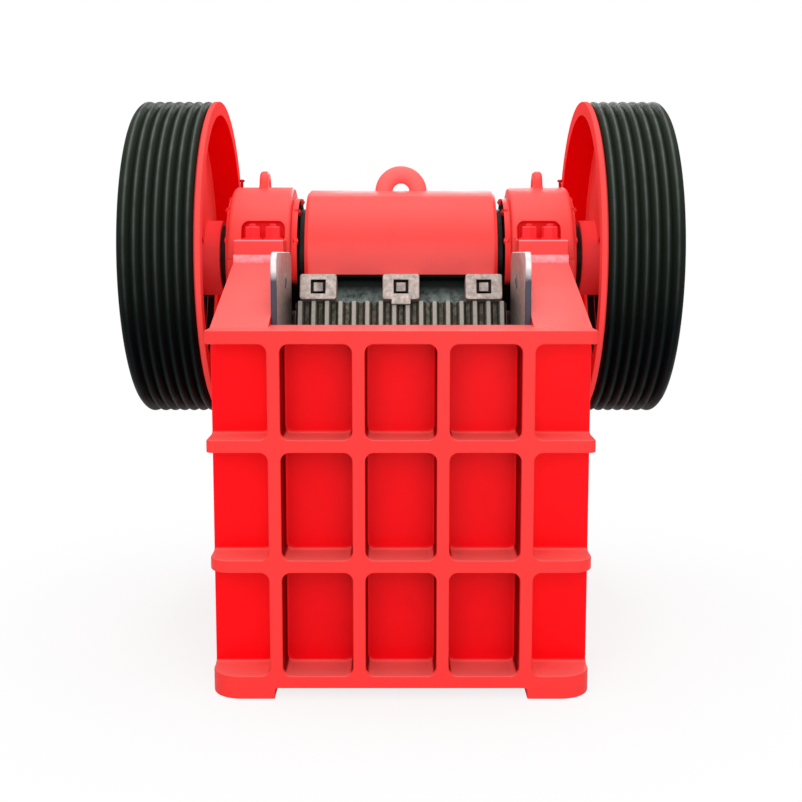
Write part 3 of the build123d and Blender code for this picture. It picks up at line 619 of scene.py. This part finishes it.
def casting_masks(place, normal):
    """Painted shade: deep red on the panels behind the ribs, dark red on the sides of the front pockets, near black
    on the chamber walls; a pale painted highlight on the flange fillets.
    """
    across, depth, height = place.parts()
    side, out, up = normal.parts()
    beside = abs(across)
    sideways = abs(side)
    low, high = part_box("rib_ring_bottom")
    inner = depth.within(low.y + RIB_RIM, high.y - RIB_RIM) * abs(out).span(0.6, 0.8).most(
        beside.within(-1, high.x - RIB_RIM))
    radius = height.span(high.z + 0.004, high.z + 0.009, FOOT_CORNER, RIB_CORNER)
    past_side = (beside - high.x + radius).most(0.0)
    past_end = (abs(depth - (low.y + high.y) / 2) - (high.y - low.y) / 2 + radius).most(0.0)
    rounded = past_side.span(0.0, TOUCH) * past_end.span(0.0, TOUCH)
    rounded *= (diagonal(past_side, past_end) + PLAN_CORNER - radius).span(-0.002, 0.002)
    # painted shade on the panels behind the ribs
    panel = inner * height.within(0.0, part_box("rib_top")[0].z - TOUCH) * up.span(0.45, 0.55, 1.0, 0.0)
    # painted shade on the inner sides of the front pockets
    pocket_shade = sideways.span(0.6, 0.8) * depth.within(low.y + RIB_RIM, low.y + 0.13) * beside.within(-1, 0.36)
    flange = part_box("top_flange_left")[1]
    # painted highlight, mottled, on the fillet at the top of the sloping flanges
    corner = depth.within(flange.y - 0.0080, flange.y + TOUCH) * height.within(flange.z - 0.0345, flange.z + TOUCH)
    corner *= noise(place, 60.0, 4.0, 0.7).span(0.35, 0.6, 0.55, 1.0)
    # painted shade on the chamber walls seen behind the cheek plates
    walls = (beside.within(0.390, 0.397) * sideways.span(0.8, 0.95)
             * depth.within(-0.17, 0.20, 0.06) * height.within(1.00, 1.10, 0.03))
    return ((panel * (1.0 - rounded), colours().recess), (pocket_shade, colours().shade),
            (corner, colours().fillet), (walls, colours().chamber))


def cap_masks(place, normal):
    """Painted shade in deep red in the arched bolt recesses, a pale painted highlight along the edge under them, and
    painted black shade where a cap faces the jaw, low down.
    """
    across, depth, height = place.parts()
    beside = abs(across)
    # painted shade in the arched bolt recesses
    recess = shaft_distance(depth, height).within(0.1, 0.249) * height.within(shaft.z + 0.07, shaft.z + 0.19)
    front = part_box("bearing_seat_left")[0].y
    # painted highlight: a pale line along the front edge at the foot of the caps
    rubbed = depth.span(front + 0.009, front + 0.006) * height.within(shaft.z + 0.0635, shaft.z + 0.069)
    # painted black shade low down on the faces that look at the jaw
    shaded = beside.within(0.0, 0.3865) * height.span(shaft.z - 0.07, shaft.z - 0.09)
    return ((recess * beside.within(0.400, 0.556), colours().cap_recess_shade), (rubbed * 0.7, colours().rubbed),
            (shaded, colours().seal))


def cover_masks(place, normal):
    """Painted black shade on the face of a cover that looks at the jaw, and on its lower half."""
    across, _, height = place.parts()
    facing = abs(normal.parts()[0]).span(0.6, 0.8)
    low = height.span(shaft.z - 0.07, shaft.z - 0.09)
    # painted black shade on the inner covers
    return ((abs(across).within(0.0, 0.40) * facing.most(low), colours().seal),)


def wheel_masks(place, normal):
    """Painted shade in deep red inside the rim, black beyond the web and on the edges of its windows, the hub and
    the tread.
    """
    across, depth, height = place.parts()
    beside = abs(across)
    reach = shaft_distance(depth, height)
    # painted shade on the faces inside the rim
    inside = abs(normal.parts()[0]).span(0.5, 0.7, 1.0, 0.0) * reach.within(0.142, 0.524)
    return ((inside, colours().rim), (inside * beside.within(0.7525, 0.909), colours().seal),
            (reach.within(-1, 0.146) * beside.within(-1, 0.7515), colours().hub),
            (reach.within(0.535, 0.60) * beside.within(0.6695, 0.93), colours().tread))


def jaw_masks(place, normal):
    """Painted black shade on the jaw's seat between the clamps, dusty at its foot; painted light on the head's faces
    that look downwards, a pale ring, and painted shade in deep red at the ends of the head.
    """
    across, depth, height = place.parts()
    beside = abs(across)
    up = normal.parts()[2]
    foot = head.z - CLAMP_DROP
    # painted shade on the jaw's seat under the head, between the clamps
    seat = beside.within(-1, 0.334) * depth.within(-1, -0.095) * height.within(foot - 0.02, head.z - 0.0385)
    dusty = seat * noise(place, 34.0, 6.0, 0.7).span(0.30, 0.66) * height.span(foot + 0.068, foot + 0.022)
    ring = height.within(shaft.z + 0.2205, 9)
    # painted shade at the lower ends of the head
    ends = beside.within(0.319, 9, 0.006) * up.span(0.35, -0.1) * height.span(shaft.z + 0.09, shaft.z - 0.03)
    # painted light on the faces of the head that look downwards
    return ((up.span(0.30, -0.10) * 0.8, colours().jaw_underside_light), (ring, colours().jaw_ring),
            (ends * 0.7, colours().jaw_end_shade), (seat, colours().jaw_seat_shade), (dusty, colours().dust))


class OBJECT_OT_crusher_finishes(bpy.types.Operator):
    """Make the finishes and give the CAD pieces theirs"""

    bl_idname = "object.crusher_finishes"
    bl_label = "Finishes"

    def execute(self, context):
        build_enamel_film()
        build_stone_dust()
        build_worn_steel()

        enamel_finish("red enamel", colours().rib)
        enamel_finish("casting enamel", colours().rib, casting_masks, 1.0)
        enamel_finish("cap enamel", colours().barrel, cap_masks)
        enamel_finish("cover enamel", colours().rib, cover_masks)
        enamel_finish("wheel enamel", colours().wheel, wheel_masks, 0.3, 0.0)
        enamel_finish("jaw body enamel", colours().barrel, jaw_masks, 0.4)
        enamel_finish("nut enamel", colours().nut)
        enamel_finish("cup enamel", colours().cup)

        # painted light on the treads: faces that look upwards are lighter and those that look downwards darker, with
        # a painted highlight along each ridge's crest
        shader, place, normal = new_finish("tread black", Specular_IOR_Level=0.05)
        rubbed = noise(place, 14.0, 4.0, 0.6)
        turns = (abs(place.parts()[0]) - wheel_shape("right")[2]) / sizes().ridge_pitch
        flank = abs(turns.reckon("FRACT", turns) - 0.5)
        # painted highlight along the crest of each ridge, its width varied by the wear noise
        crest = (flank + rubbed.span(0.3, 0.7, -0.03, 0.03)).span(0.0, 0.24, 1.0, 0.0)
        level = normal.parts()[2].span(-0.35, 0.95)
        groove_sheen = mix(level, colours().tread, colours().groove_sheen)
        ridge = mix(level, colours().ridge_shade, colours().ridge)
        deliver(shader, Base_Color=mix(crest * crest, groove_sheen, ridge), Roughness=rubbed.span(0.3, 0.7, 0.42, 0.58))
        bump(shader, noise(place, 260.0, 3.0), 0.12, 0.001)

        shader, place = new_finish("seal black", Specular_IOR_Level=0.15)[:2]
        grease = noise(place, 40.0, 4.0)
        deliver(shader, Base_Color=mix(grease.span(0.4, 0.7), colours().seal, colours().grease),
                Roughness=grease.span(0.3, 0.7, 0.34, 0.6))
        bump(shader, grease, 0.15, 0.001)

        shader, place = new_finish("moving jaw steel")[:2]
        reach = jaw_out(place)
        rub = reach.span(0.0475, 0.0600).most(reach.span(0.0375, 0.0362, 0.0, 0.22))
        scale = mix(noise(place, 22.0, 3.0).span(0.40, 0.60), colours().root, colours().root_green)
        deliver(shader, Base_Color=steel_finish(shader, place, rub, scale, colours().crest, 0.5))

        shader, place = new_finish("fixed jaw steel")[:2]
        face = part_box("fixed_jaw_plate")[1].y
        rub = place.parts()[1].span(face - 0.022, face - 0.0005)
        deliver(shader, Base_Color=steel_finish(shader, place, rub, colours().root, colours().crest, 0.5))

        self.clamp_steel()
        self.cheek_steel()

        for name, shade, metal, rough in (
            ("bare steel", colours().bare, 0.85, (0.26, 0.42)),
            ("spring steel", colours().spring, 0.4, (0.3, 0.45)),
        ):
            shader, place = new_finish(name, Metallic=metal)[:2]
            turned = noise(place, 55.0, 4.0)
            worn = [part * 0.6 for part in shade[:3]]
            deliver(shader, Base_Color=mix(turned.span(0.35, 0.7), shade, (*worn, 1)),
                    Roughness=turned.span(0.3, 0.7, *rough))
            bump(shader, noise(place, 300.0, 2.0), 0.08, 0.0006)

        for name, piece in nodes.items():
            paint(piece, next(finish for start, finish in FINISHES if name.startswith(start)))
        return {"FINISHED"}

    @staticmethod
    def clamp_steel():
        """Dusty cast steel, with painted shade in the clamps' square pockets."""
        shader, place, normal = new_finish("clamp steel")
        dust = grouped(place.tree, "Stone dust", Vector=place, Normal=normal, Amount=0.5)
        skin = steel_finish(shader, place, 0.66, colours().clamp_low, colours().clamp, 0.4)
        beside = abs(place.parts()[0])
        row = beside.least(abs(beside - CLAMP_PITCH))
        middle = ALONG.dot(CLAMP_FOOT) + POCKET_RISE
        rise = place.measure("DOT_PRODUCT", ALONG)
        # painted shade in the square pockets round the bolt heads
        pocket_shade = (row.within(-1, POCKET_HALF) * rise.within(middle - POCKET_HALF, middle + POCKET_HALF)
                  * jaw_out(place).within(-1, 0.0655))
        dusted = mix(dust["Mask"], skin, colours().clamp_dust)
        deliver(shader, Base_Color=mix(pocket_shade, dusted, colours().pocket_shade))

    @staticmethod
    def cheek_steel():
        """Rolled plate, pale where stone rubs its top corner, with painted shade deep in the chamber, and cut edges
        dark with a painted bluish reflection.
        """
        shader, place, normal = new_finish("cheek steel")
        _, out, up = normal.parts()
        _, depth, height = place.parts()
        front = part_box("cheek_plate_left")[0].y
        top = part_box("cheek_plate_left")[1].z
        skin = steel_finish(shader, place, height.span(top - 0.3, top, 0.35, 0.8),
                            colours().cheek_low, colours().cheek, 0.3)
        pale = (height + noise(place, 30.0, 4.0) * 0.03).span(top - 0.075, top - 0.035)
        # the cut edges: dark with a painted bluish reflection, pale towards the top
        cut = mix(pale, colours().cut_edge_and_reflection, colours().pale_edge)
        inward = (depth - front) * 0.55
        ragged = inward + (top - height) + noise(place, 24.0, 4.0).span(0.3, 0.7, -0.02, 0.02)
        rolled = mix(ragged.span(0.115, 0.075, 0.0, 0.85), skin, colours().pale_edge)
        # painted shade low down towards the rear of the plate
        deep = inward.span(0.02, 0.20, 0.0, 0.92) * height.span(top - 0.09, top - 0.17)
        edge = out.span(-0.4, -0.5).most(up.span(0.3, 0.4))
        deliver(shader, Base_Color=mix(edge, mix(deep, rolled, colours().cheek_shade), cut))


class OBJECT_OT_crusher_casting(bpy.types.Operator):
    """Merge the frame's walls and ribs into one casting with rounded edges"""

    bl_idname = "object.crusher_casting"
    bl_label = "Frame casting"

    def execute(self, context):
        base = node_copy(frame_nodes[0])
        rest = join([node_copy(name) for name in frame_nodes[1:]])
        modify(base, "BOOLEAN", operation="UNION", solver="EXACT", use_self=True, object=rest)
        bpy.data.objects.remove(rest)
        clean(base, 0.0002)

        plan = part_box("rib_ring_bottom")
        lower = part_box("rib_ring_lower")
        widen_corners(base, plan, FOOT_CORNER, -1, plan[1].z + TOUCH)
        widen_corners(base, plan, RIB_CORNER, lower[0].z - TOUCH, lower[1].z + TOUCH)
        self.lower_fillets(base)

        flange_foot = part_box("rib_top")[1].z - 0.02
        round_edges(base, False, sizes().cast_fillet, 3, 50, lambda middle: middle.z < flange_foot)
        round_edges(base, True, sizes().cast_edge, 2, 50,
                    lambda middle: middle.z < flange_foot or abs(middle.x) < 0.39)
        recalculate(base)
        finish_piece(base, "frame_casting", "frame", "casting enamel")
        steady_normals(base, 0.002)
        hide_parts(*frame_nodes)
        return {"FINISHED"}

    @staticmethod
    def lower_fillets(base):
        """Press the arc at the rear end of the sloping flanges into a short low fillet."""
        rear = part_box("top_flange_left")[1]
        arc_height, arc_depth, drop, narrowed, flattened = 0.0505, 0.0385, 0.006, 0.2, 0.559
        for point in base.data.vertices:
            if point.co.z > rear.z - arc_height and -arc_depth < point.co.y - rear.y < 0.0005:
                point.co.y = rear.y + (point.co.y - rear.y) * narrowed
                point.co.z = rear.z - drop + (point.co.z - rear.z) * flattened


class OBJECT_OT_crusher_bearings(bpy.types.Operator):
    """Round the edges of the bearing housings, covers, cheek plates and clamps"""

    bl_idname = "object.crusher_bearings"
    bl_label = "Housings"

    def execute(self, context):
        for side in SIDES:
            soften(f"bearing_seat_{side}", f"housing_{side}", "frame", "cap enamel", 0.004, 0.006)
            self.cap(side)
            for place in ("inner", "outer"):
                soften(f"cover_{place}_{side}", f"{place}_cover_{side}", "frame", "cover enamel", 0.002)
            self.cheek(side)
        reach = OUT.dot(CLAMP_FOOT)
        clamps = node_copy("jaw_clamps")
        round_edges(clamps, True, 0.009, 4, 60, lambda middle: 0.028 < OUT.dot(middle) - reach < 0.042)
        round_edges(clamps, True, 0.003, 2, 60, lambda middle: OUT.dot(middle) - reach > 0.045)
        stand_in(clamps, "jaw_clamps", "clamps", "moving_jaw", "clamp steel")
        return {"FINISHED"}

    @staticmethod
    def cap(side):
        """Round a bearing cap: wide on its lifting eye, narrow below."""
        name = f"bearing_cap_{side}"
        cap_top = CAP_EYE_FOOT - 0.02
        piece = node_copy(name)
        round_edges(piece, True, 0.011, 4, 60, lambda middle: middle.z > CAP_EYE_FOOT)
        round_edges(piece, False, 0.006, 3, 40, lambda middle: middle.z < cap_top)
        round_edges(piece, True, 0.004, 2, 40, lambda middle: middle.z < cap_top)
        stand_in(piece, name, f"cap_{side}", "frame", "cap enamel")

    @staticmethod
    def cheek(side):
        """Lower and round the rear top corner of a cheek plate."""
        name = f"cheek_plate_{side}"
        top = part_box(name)[1].z
        rear = shaft.y - 0.298
        drop = 0.009
        plate = node_copy(name)
        for point in plate.data.vertices:
            if point.co.z > top - TOUCH and point.co.y > rear - TOUCH:
                point.co.z -= drop
        round_edges(plate, True, 0.040, 6, 60,
                    lambda middle: middle.z > top - drop - TOUCH and abs(middle.y - rear) < TOUCH)
        round_edges(plate, True, 0.004, 2, 40)
        stand_in(plate, name, f"cheek_{side}", "frame", "cheek steel")


class OBJECT_OT_crusher_wheels(bpy.types.Operator):
    """Round the flywheels' edges and turn their rims down under the treads"""

    bl_idname = "object.crusher_wheels"
    bl_label = "Flywheels"

    def execute(self, context):
        rim_inside, edge_band, groove_depth = 0.52, 0.004, 0.025
        for side in SIDES:
            radius, first = wheel_shape(side)[1:]
            wheel = node_copy(f"flywheel_{side}")
            for point in wheel.data.vertices:
                spoke = Vector((0, point.co.y - shaft.y, point.co.z - shaft.z))
                if spoke.length > radius - groove_depth and abs(point.co.x) > first - TOUCH:
                    middle = Vector((point.co.x, shaft.y, shaft.z))
                    point.co = middle + spoke.normalized() * (radius - sizes().ridge_height - RIM_TURNED)
            round_edges(wheel, False, 0.008, 3, 50, lambda middle: self.reach(middle) < rim_inside)
            round_edges(wheel, True, 0.003, 2, 50, lambda middle: self.reach(middle) < rim_inside)
            round_edges(wheel, True, 0.0025, 2, 50, lambda middle: self.reach(middle) > radius - edge_band)
            stand_in(wheel, f"flywheel_{side}", f"wheel_{side}", "rotor", "wheel enamel")
        return {"FINISHED"}

    @staticmethod
    def reach(point):
        """Distance of a point from the shaft's axis."""
        return (Vector(point.yz) - Vector(shaft.yz)).length


class OBJECT_OT_crusher_treads(bpy.types.Operator):
    """Turn the rounded ridges of the belt grooves on both flywheels"""

    bl_idname = "object.crusher_treads"
    bl_label = "Treads"

    def execute(self, context):
        pitch, height, count = sizes().ridge_pitch, sizes().ridge_height, sizes().ridge_count
        steps_per_ridge = 10
        for side, sign in SIDES.items():
            outer_x, radius, first = wheel_shape(side)
            foot = radius - height - TREAD_FOOT
            profile = [(first, foot)]
            for ridge in range(count):
                start = first + ridge * pitch
                width = pitch if ridge < count - 1 else outer_x - start
                for step in range(steps_per_ridge):
                    share = step / (steps_per_ridge - 1) * 2 - 1
                    profile.append((start + (share + 1) / 2 * width * 0.998, radius - height * share * share))
            profile.append((outer_x, foot))
            tread = add(bpy.ops.mesh.primitive_circle_add, vertices=len(profile), radius=0.1, fill_type="NOTHING")
            for point, (x, r) in zip(tread.data.vertices, profile):
                point.co = (sign * x, shaft.y, shaft.z + r)
            with editing(tread):
                bpy.ops.mesh.spin(steps=128, angle=2 * pi, center=shaft, axis=(1, 0, 0))
            recalculate(tread)
            finish_piece(tread, f"tread_{side}", "rotor", "tread black", 50)
        return {"FINISHED"}


def hex_nut(width, height, washer=True):
    """A nut standing on the origin, with chamfered corners and a washer under it, all in shares of its size."""
    nut = add(bpy.ops.mesh.primitive_cylinder_add, vertices=6, radius=width / 2, depth=height,
              location=(0, 0, height / 2))
    with editing(nut, upper):
        bpy.ops.mesh.inset(thickness=width * 0.07, depth=height * 0.08)
        bpy.ops.mesh.inset(thickness=width * 0.17, depth=0)
        bpy.ops.mesh.extrude_region_move(TRANSFORM_OT_translate={"value": (0, 0, height * 0.22)})
        bpy.ops.mesh.bevel(offset=height * 0.05, segments=2, affect="EDGES")
    if not washer:
        return nut
    plate = add(bpy.ops.mesh.primitive_cylinder_add, vertices=32, radius=width * 0.62, depth=height * 0.16,
                location=(0, 0, height * 0.08))
    with editing(plate, lambda edge: edge.calc_face_angle(0) > 1, "EDGE"):
        bpy.ops.mesh.bevel(offset=height * 0.03, segments=2, affect="EDGES")
    return join([nut, plate])


def rounded_block(radius, segments, **values):
    """A block with all its edges rounded."""
    block = add(bpy.ops.mesh.primitive_cube_add, size=1, **values)
    with editing(block, lambda edge: True, "EDGE"):
        bpy.ops.mesh.bevel(offset=radius, segments=segments, affect="EDGES")
    return block


class OBJECT_OT_crusher_cap_nuts(bpy.types.Operator):
    """Stand the nuts in the recesses of the bearing caps"""

    bl_idname = "object.crusher_cap_nuts"
    bl_label = "Cap nuts"

    def execute(self, context):
        floor_z = shaft.z + 0.068
        near, far, row = 0.441, 0.512, 0.255
        for side, sign in SIDES.items():
            places = [
                ((sign * x, shaft.y + y, floor_z), Euler((0, 0, 0.2 * index)))
                for index, (x, y) in enumerate(((near, -row), (far, -row), (near, row), (far, row)))
            ]
            nuts = copies(hex_nut(sizes().nut_width, sizes().nut_height), places)
            finish_piece(nuts, f"cap_nuts_{side}", "frame", "nut enamel")
        return {"FINISHED"}


class OBJECT_OT_crusher_cover_bolts(bpy.types.Operator):
    """Set the bolts round the bearing covers"""

    bl_idname = "object.crusher_cover_bolts"
    bl_label = "Cover bolts"

    def execute(self, context):
        inset = 0.0135  # from the cover's edge to its bolts
        for side, sign in SIDES.items():
            places = []
            for cover, facing in (("cover_inner", -1), ("cover_outer", 1)):
                low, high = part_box(f"{cover}_{side}")
                face = min(abs(low.x), abs(high.x)) if facing < 0 else max(abs(low.x), abs(high.x))
                circle = (high.y - low.y) / 2 - inset
                for index in range(sizes().cover_bolt_count):
                    angle = 2 * pi * (index + 0.5) / sizes().cover_bolt_count
                    place = Vector((sign * face, shaft.y + circle * cos(angle), shaft.z + circle * sin(angle)))
                    if place.z > low.z + 0.02:
                        places.append((place, Euler((angle, sign * facing * pi / 2, 0))))
            bolts = copies(hex_nut(sizes().cover_bolt, sizes().cover_bolt * 0.6, False), places)
            finish_piece(bolts, f"cover_bolts_{side}", "frame", "cover enamel")
        return {"FINISHED"}


class OBJECT_OT_crusher_grease_cups(bpy.types.Operator):
    """Screw a grease cup into each bearing cap"""

    bl_idname = "object.crusher_grease_cups"
    bl_label = "Grease cups"

    def execute(self, context):
        radius = 0.0048
        for side, sign in SIDES.items():
            cup = add(bpy.ops.mesh.primitive_cylinder_add, vertices=24, radius=radius, depth=0.024,
                      location=(sign * 0.578, shaft.y, CAP_EYE_FOOT))
            for wider, rise in ((0.0045, 0.001), (0.0, 0.007), (-0.003, 0.002)):
                top = max(point.co.z for point in cup.data.vertices)
                scale = 1 + wider / radius
                with editing(cup, lambda face: face.calc_center_median().z > top - 0.0001):
                    bpy.ops.mesh.extrude_region_move(TRANSFORM_OT_translate={"value": (0, 0, rise)})
                    bpy.ops.transform.resize(value=(scale, scale, 1))
            recalculate(cup)
            finish_piece(cup, f"grease_cup_{side}", "frame", "cup enamel")
        return {"FINISHED"}


class OBJECT_OT_crusher_clamp_bolts(bpy.types.Operator):
    """Set the square bolt heads in the clamps' pockets"""

    bl_idname = "object.crusher_clamp_bolts"
    bl_label = "Clamp bolts"

    def execute(self, context):
        bolt = rounded_block(0.0035, 3, location=(0, 0, 0.007),
                             scale=(sizes().square_head, sizes().square_head, 0.022))
        middle = CLAMP_FOOT + OUT * 0.048 + ALONG * POCKET_RISE
        places = [
            (middle + Vector((x, 0, 0)), Euler((pi / 2 - LEAN, 0, turn)))
            for x, turn in ((-CLAMP_PITCH, 0.04), (0, 0), (CLAMP_PITCH, -0.03))
        ]
        finish_piece(copies(bolt, places), "clamp_bolts", "moving_jaw", "clamp steel")
        return {"FINISHED"}


class OBJECT_OT_crusher_cheek_bolts(bpy.types.Operator):
    """Set the slotted countersunk bolts in the cheek plates"""

    bl_idname = "object.crusher_cheek_bolts"
    bl_label = "Cheek bolts"

    def execute(self, context):
        for side, sign in SIDES.items():
            low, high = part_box(f"cheek_plate_{side}")
            face = min(abs(low.x), abs(high.x))
            bolt = add(bpy.ops.mesh.primitive_cylinder_add, vertices=32, radius=0.024, depth=0.004)
            with editing(bolt, upper):
                for thickness, depth in ((0.003, 0.0008), (0.008, -0.0002), (0.001, -0.003)):
                    bpy.ops.mesh.inset(thickness=thickness, depth=depth)
            places = [
                (Vector((sign * face, y, z)), Euler((0, -sign * pi / 2, 0)))
                for y, z in ((low.y + 0.28, high.z - 0.10), (low.y + 0.14, 0.90), (low.y + 0.14, 0.45))
            ]
            finish_piece(copies(bolt, places), f"cheek_bolts_{side}", "frame", "cheek steel")
        return {"FINISHED"}


class OBJECT_OT_crusher_shaft_ends(bpy.types.Operator):
    """Close the flywheel hubs with bolted end plates and set the keys"""

    bl_idname = "object.crusher_shaft_ends"
    bl_label = "Shaft ends"

    def execute(self, context):
        bolt_count, bolt_circle, thickness = 3, 0.047, 0.01
        low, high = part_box("eccentric_shaft")
        face = max(abs(low.x), abs(high.x))
        for side, sign in SIDES.items():
            plate = add(bpy.ops.mesh.primitive_cylinder_add, vertices=48, radius=0.078, depth=thickness)
            with editing(plate, upper):
                bpy.ops.mesh.bevel(offset=0.002, segments=2, affect="EDGES")
            bolts = [plate]
            for index in range(bolt_count):
                angle = 2 * pi * index / bolt_count + 0.5
                bolt = hex_nut(0.030, 0.017, False)
                bolt.location = (bolt_circle * cos(angle), bolt_circle * sin(angle), thickness / 2)
                apply_place(bolt)
                bolts.append(bolt)
            plate = join(bolts)
            plate.rotation_euler = (0, sign * pi / 2, 0)
            plate.location = (sign * (face - 0.004), shaft.y, shaft.z)
            finish_piece(plate, f"end_plate_{side}", "rotor", "bare steel")
            middle = wheel_shape(side)[0] - 0.030
            key = rounded_block(0.002, 2, location=(sign * middle, shaft.y, shaft.z + 0.088),
                                scale=(0.05, 0.034, 0.022))
            finish_piece(key, f"wheel_key_{side}", "rotor", "bare steel")
        return {"FINISHED"}


class OBJECT_OT_crusher_spring(bpy.types.Operator):
    """Wind the round wire of the tension spring"""

    bl_idname = "object.crusher_spring"
    bl_label = "Spring"

    def execute(self, context):
        wire, turns = 0.009, sizes().spring_turns
        low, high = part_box("tension_spring")
        middle = (low.z + high.z) / 2
        spring = add(bpy.ops.mesh.primitive_circle_add, vertices=14, radius=wire, fill_type="NGON",
                     location=((high.x - low.x) / 2 - wire, low.y + wire, middle))
        spring.data.flip_normals()
        spring.data.transform(Matrix.Translation((0, 0, -middle)))
        steps_of_turn = int(40 * turns)
        modify(spring, "SCREW", axis="Y", angle=2 * pi * turns, screw_offset=high.y - low.y - 2 * wire,
               steps=steps_of_turn, render_steps=steps_of_turn, use_merge_vertices=False)
        spring.data.transform(Matrix.Translation((0, 0, middle)))
        stand_in(spring, "tension_spring", "spring_coil", "frame", "spring steel", 60)
        return {"FINISHED"}


class OBJECT_OT_crusher_stage(bpy.types.Operator):
    """Lay the floor, hang the lamps and set the camera"""

    bl_idname = "object.crusher_stage"
    bl_label = "Stage"

    def execute(self, context):
        scene = context.scene
        bpy.ops.object.select_all(action="DESELECT")
        bpy.ops.mesh.primitive_plane_add(size=24, location=(0, 0, -0.0005))
        floor = context.object
        floor.name = "floor"
        shader, place = new_finish("pale floor", Roughness=0.9, Specular_IOR_Level=0.0)[:2]
        shader.inputs["Base Color"].default_value = tuple(colours().floor)
        seen = place.measure("LENGTH").span(0.8, 1.9, 0.80, 1.0) * self.rays(place.tree)["Is Camera Ray"]
        white = node(place.tree, "ShaderNodeEmission", [("Color", (1, 1, 1, 1)), ("Strength", 1.0)])
        self.blend(seen, shader, white, "Material Output")
        paint(floor, "pale floor")

        world = bpy.data.worlds.new("studio")
        world.use_nodes = True
        scene.world = world
        soft = world.node_tree.nodes["Background"]
        soft.inputs["Color"].default_value = (1, 1, 1, 1)
        soft.inputs["Strength"].default_value = 0.60
        bright = node(world.node_tree, "ShaderNodeBackground", [("Color", (1, 1, 1, 1)), ("Strength", 1.0)])
        rays = self.rays(world.node_tree)
        self.blend(rays["Is Camera Ray"].most(rays["Is Transmission Ray"]), soft, bright, "World Output")

        for name, place, aim, size, power in (
            ("key lamp", (-0.8, -5.0, 3.2), (0, -0.3, 0.8), 3.0, 77),
            ("fill lamp", (1.2, -5.2, 1.6), (0, -0.3, 0.7), 3.0, 47),
            ("top lamp", (0, -0.2, 4.6), (0, 0.0, 0.9), 3.0, 57),
            ("rear lamp", (0.8, 4.4, 3.2), (0, 0.3, 0.8), 2.6, 80),
        ):
            lamp = bpy.data.lights.new(name, "AREA")
            lamp.energy = power
            lamp.size = size
            made = bpy.data.objects.new(name, lamp)
            scene.collection.objects.link(made)
            made.location = place
            made.rotation_euler = (Vector(aim) - Vector(place)).to_track_quat("-Z", "Y").to_euler()

        camera = bpy.data.cameras.new("camera")
        camera.lens = 54.36
        camera.sensor_width = 36
        camera.sensor_fit = "HORIZONTAL"
        camera.shift_y = -0.0266
        holder = bpy.data.objects.new("camera", camera)
        scene.collection.objects.link(holder)
        holder.location = (0, front_y - 3.46, 1.383)
        holder.rotation_euler = (radians(83), 0, 0)
        scene.camera = holder
        scene.view_settings.view_transform = "Standard"
        return {"FINISHED"}

    @staticmethod
    def rays(tree):
        """The kinds of ray that a tree is asked for."""
        return signals(tree, tree.nodes.new("ShaderNodeLightPath"))

    @staticmethod
    def blend(seen, hidden, shown, output):
        """Show one shader where it is seen, and another elsewhere."""
        tree = seen.tree
        made = node(tree, "ShaderNodeMixShader", [(0, seen), (1, Signal(tree, hidden.outputs[0])),
                                                  (2, Signal(tree, shown.outputs[0]))])
        deliver(tree.nodes[output], Surface=Signal(tree, made.outputs[0]))


class VIEW3D_PT_crusher(bpy.types.Panel):
    """Lists the crusher's pieces, sizes and colours"""

    bl_label = "Jaw crusher"
    bl_space_type = "VIEW_3D"
    bl_region_type = "UI"
    bl_category = "Crusher"

    def draw(self, context):
        column = self.layout.column()
        for operator in steps:
            column.operator(operator.bl_idname)
        for group in (context.scene.crusher_sizes, context.scene.crusher_colours):
            for name in group.__annotations__:
                column.prop(group, name)


steps = (
    OBJECT_OT_crusher_stage,
    OBJECT_OT_crusher_finishes,
    OBJECT_OT_crusher_casting,
    OBJECT_OT_crusher_bearings,
    OBJECT_OT_crusher_wheels,
    OBJECT_OT_crusher_treads,
    OBJECT_OT_crusher_cap_nuts,
    OBJECT_OT_crusher_cover_bolts,
    OBJECT_OT_crusher_grease_cups,
    OBJECT_OT_crusher_clamp_bolts,
    OBJECT_OT_crusher_cheek_bolts,
    OBJECT_OT_crusher_shaft_ends,
    OBJECT_OT_crusher_spring,
)
classes = (CrusherColours, CrusherSizes, *steps, VIEW3D_PT_crusher)


def register():
    """Register the classes and hang the settings on the scene."""
    for kind in classes:
        bpy.utils.register_class(kind)
    bpy.types.Scene.crusher_colours = PointerProperty(type=CrusherColours)
    bpy.types.Scene.crusher_sizes = PointerProperty(type=CrusherSizes)


def unregister():
    """Take the settings and classes away again."""
    del bpy.types.Scene.crusher_sizes
    del bpy.types.Scene.crusher_colours
    for kind in reversed(classes):
        bpy.utils.unregister_class(kind)


def main():
    """Build the dressed crusher."""
    register()
    for operator in steps:
        name = operator.bl_idname.split(".")[1]
        getattr(bpy.ops.object, name)()


if __name__ == "__main__":
    main()
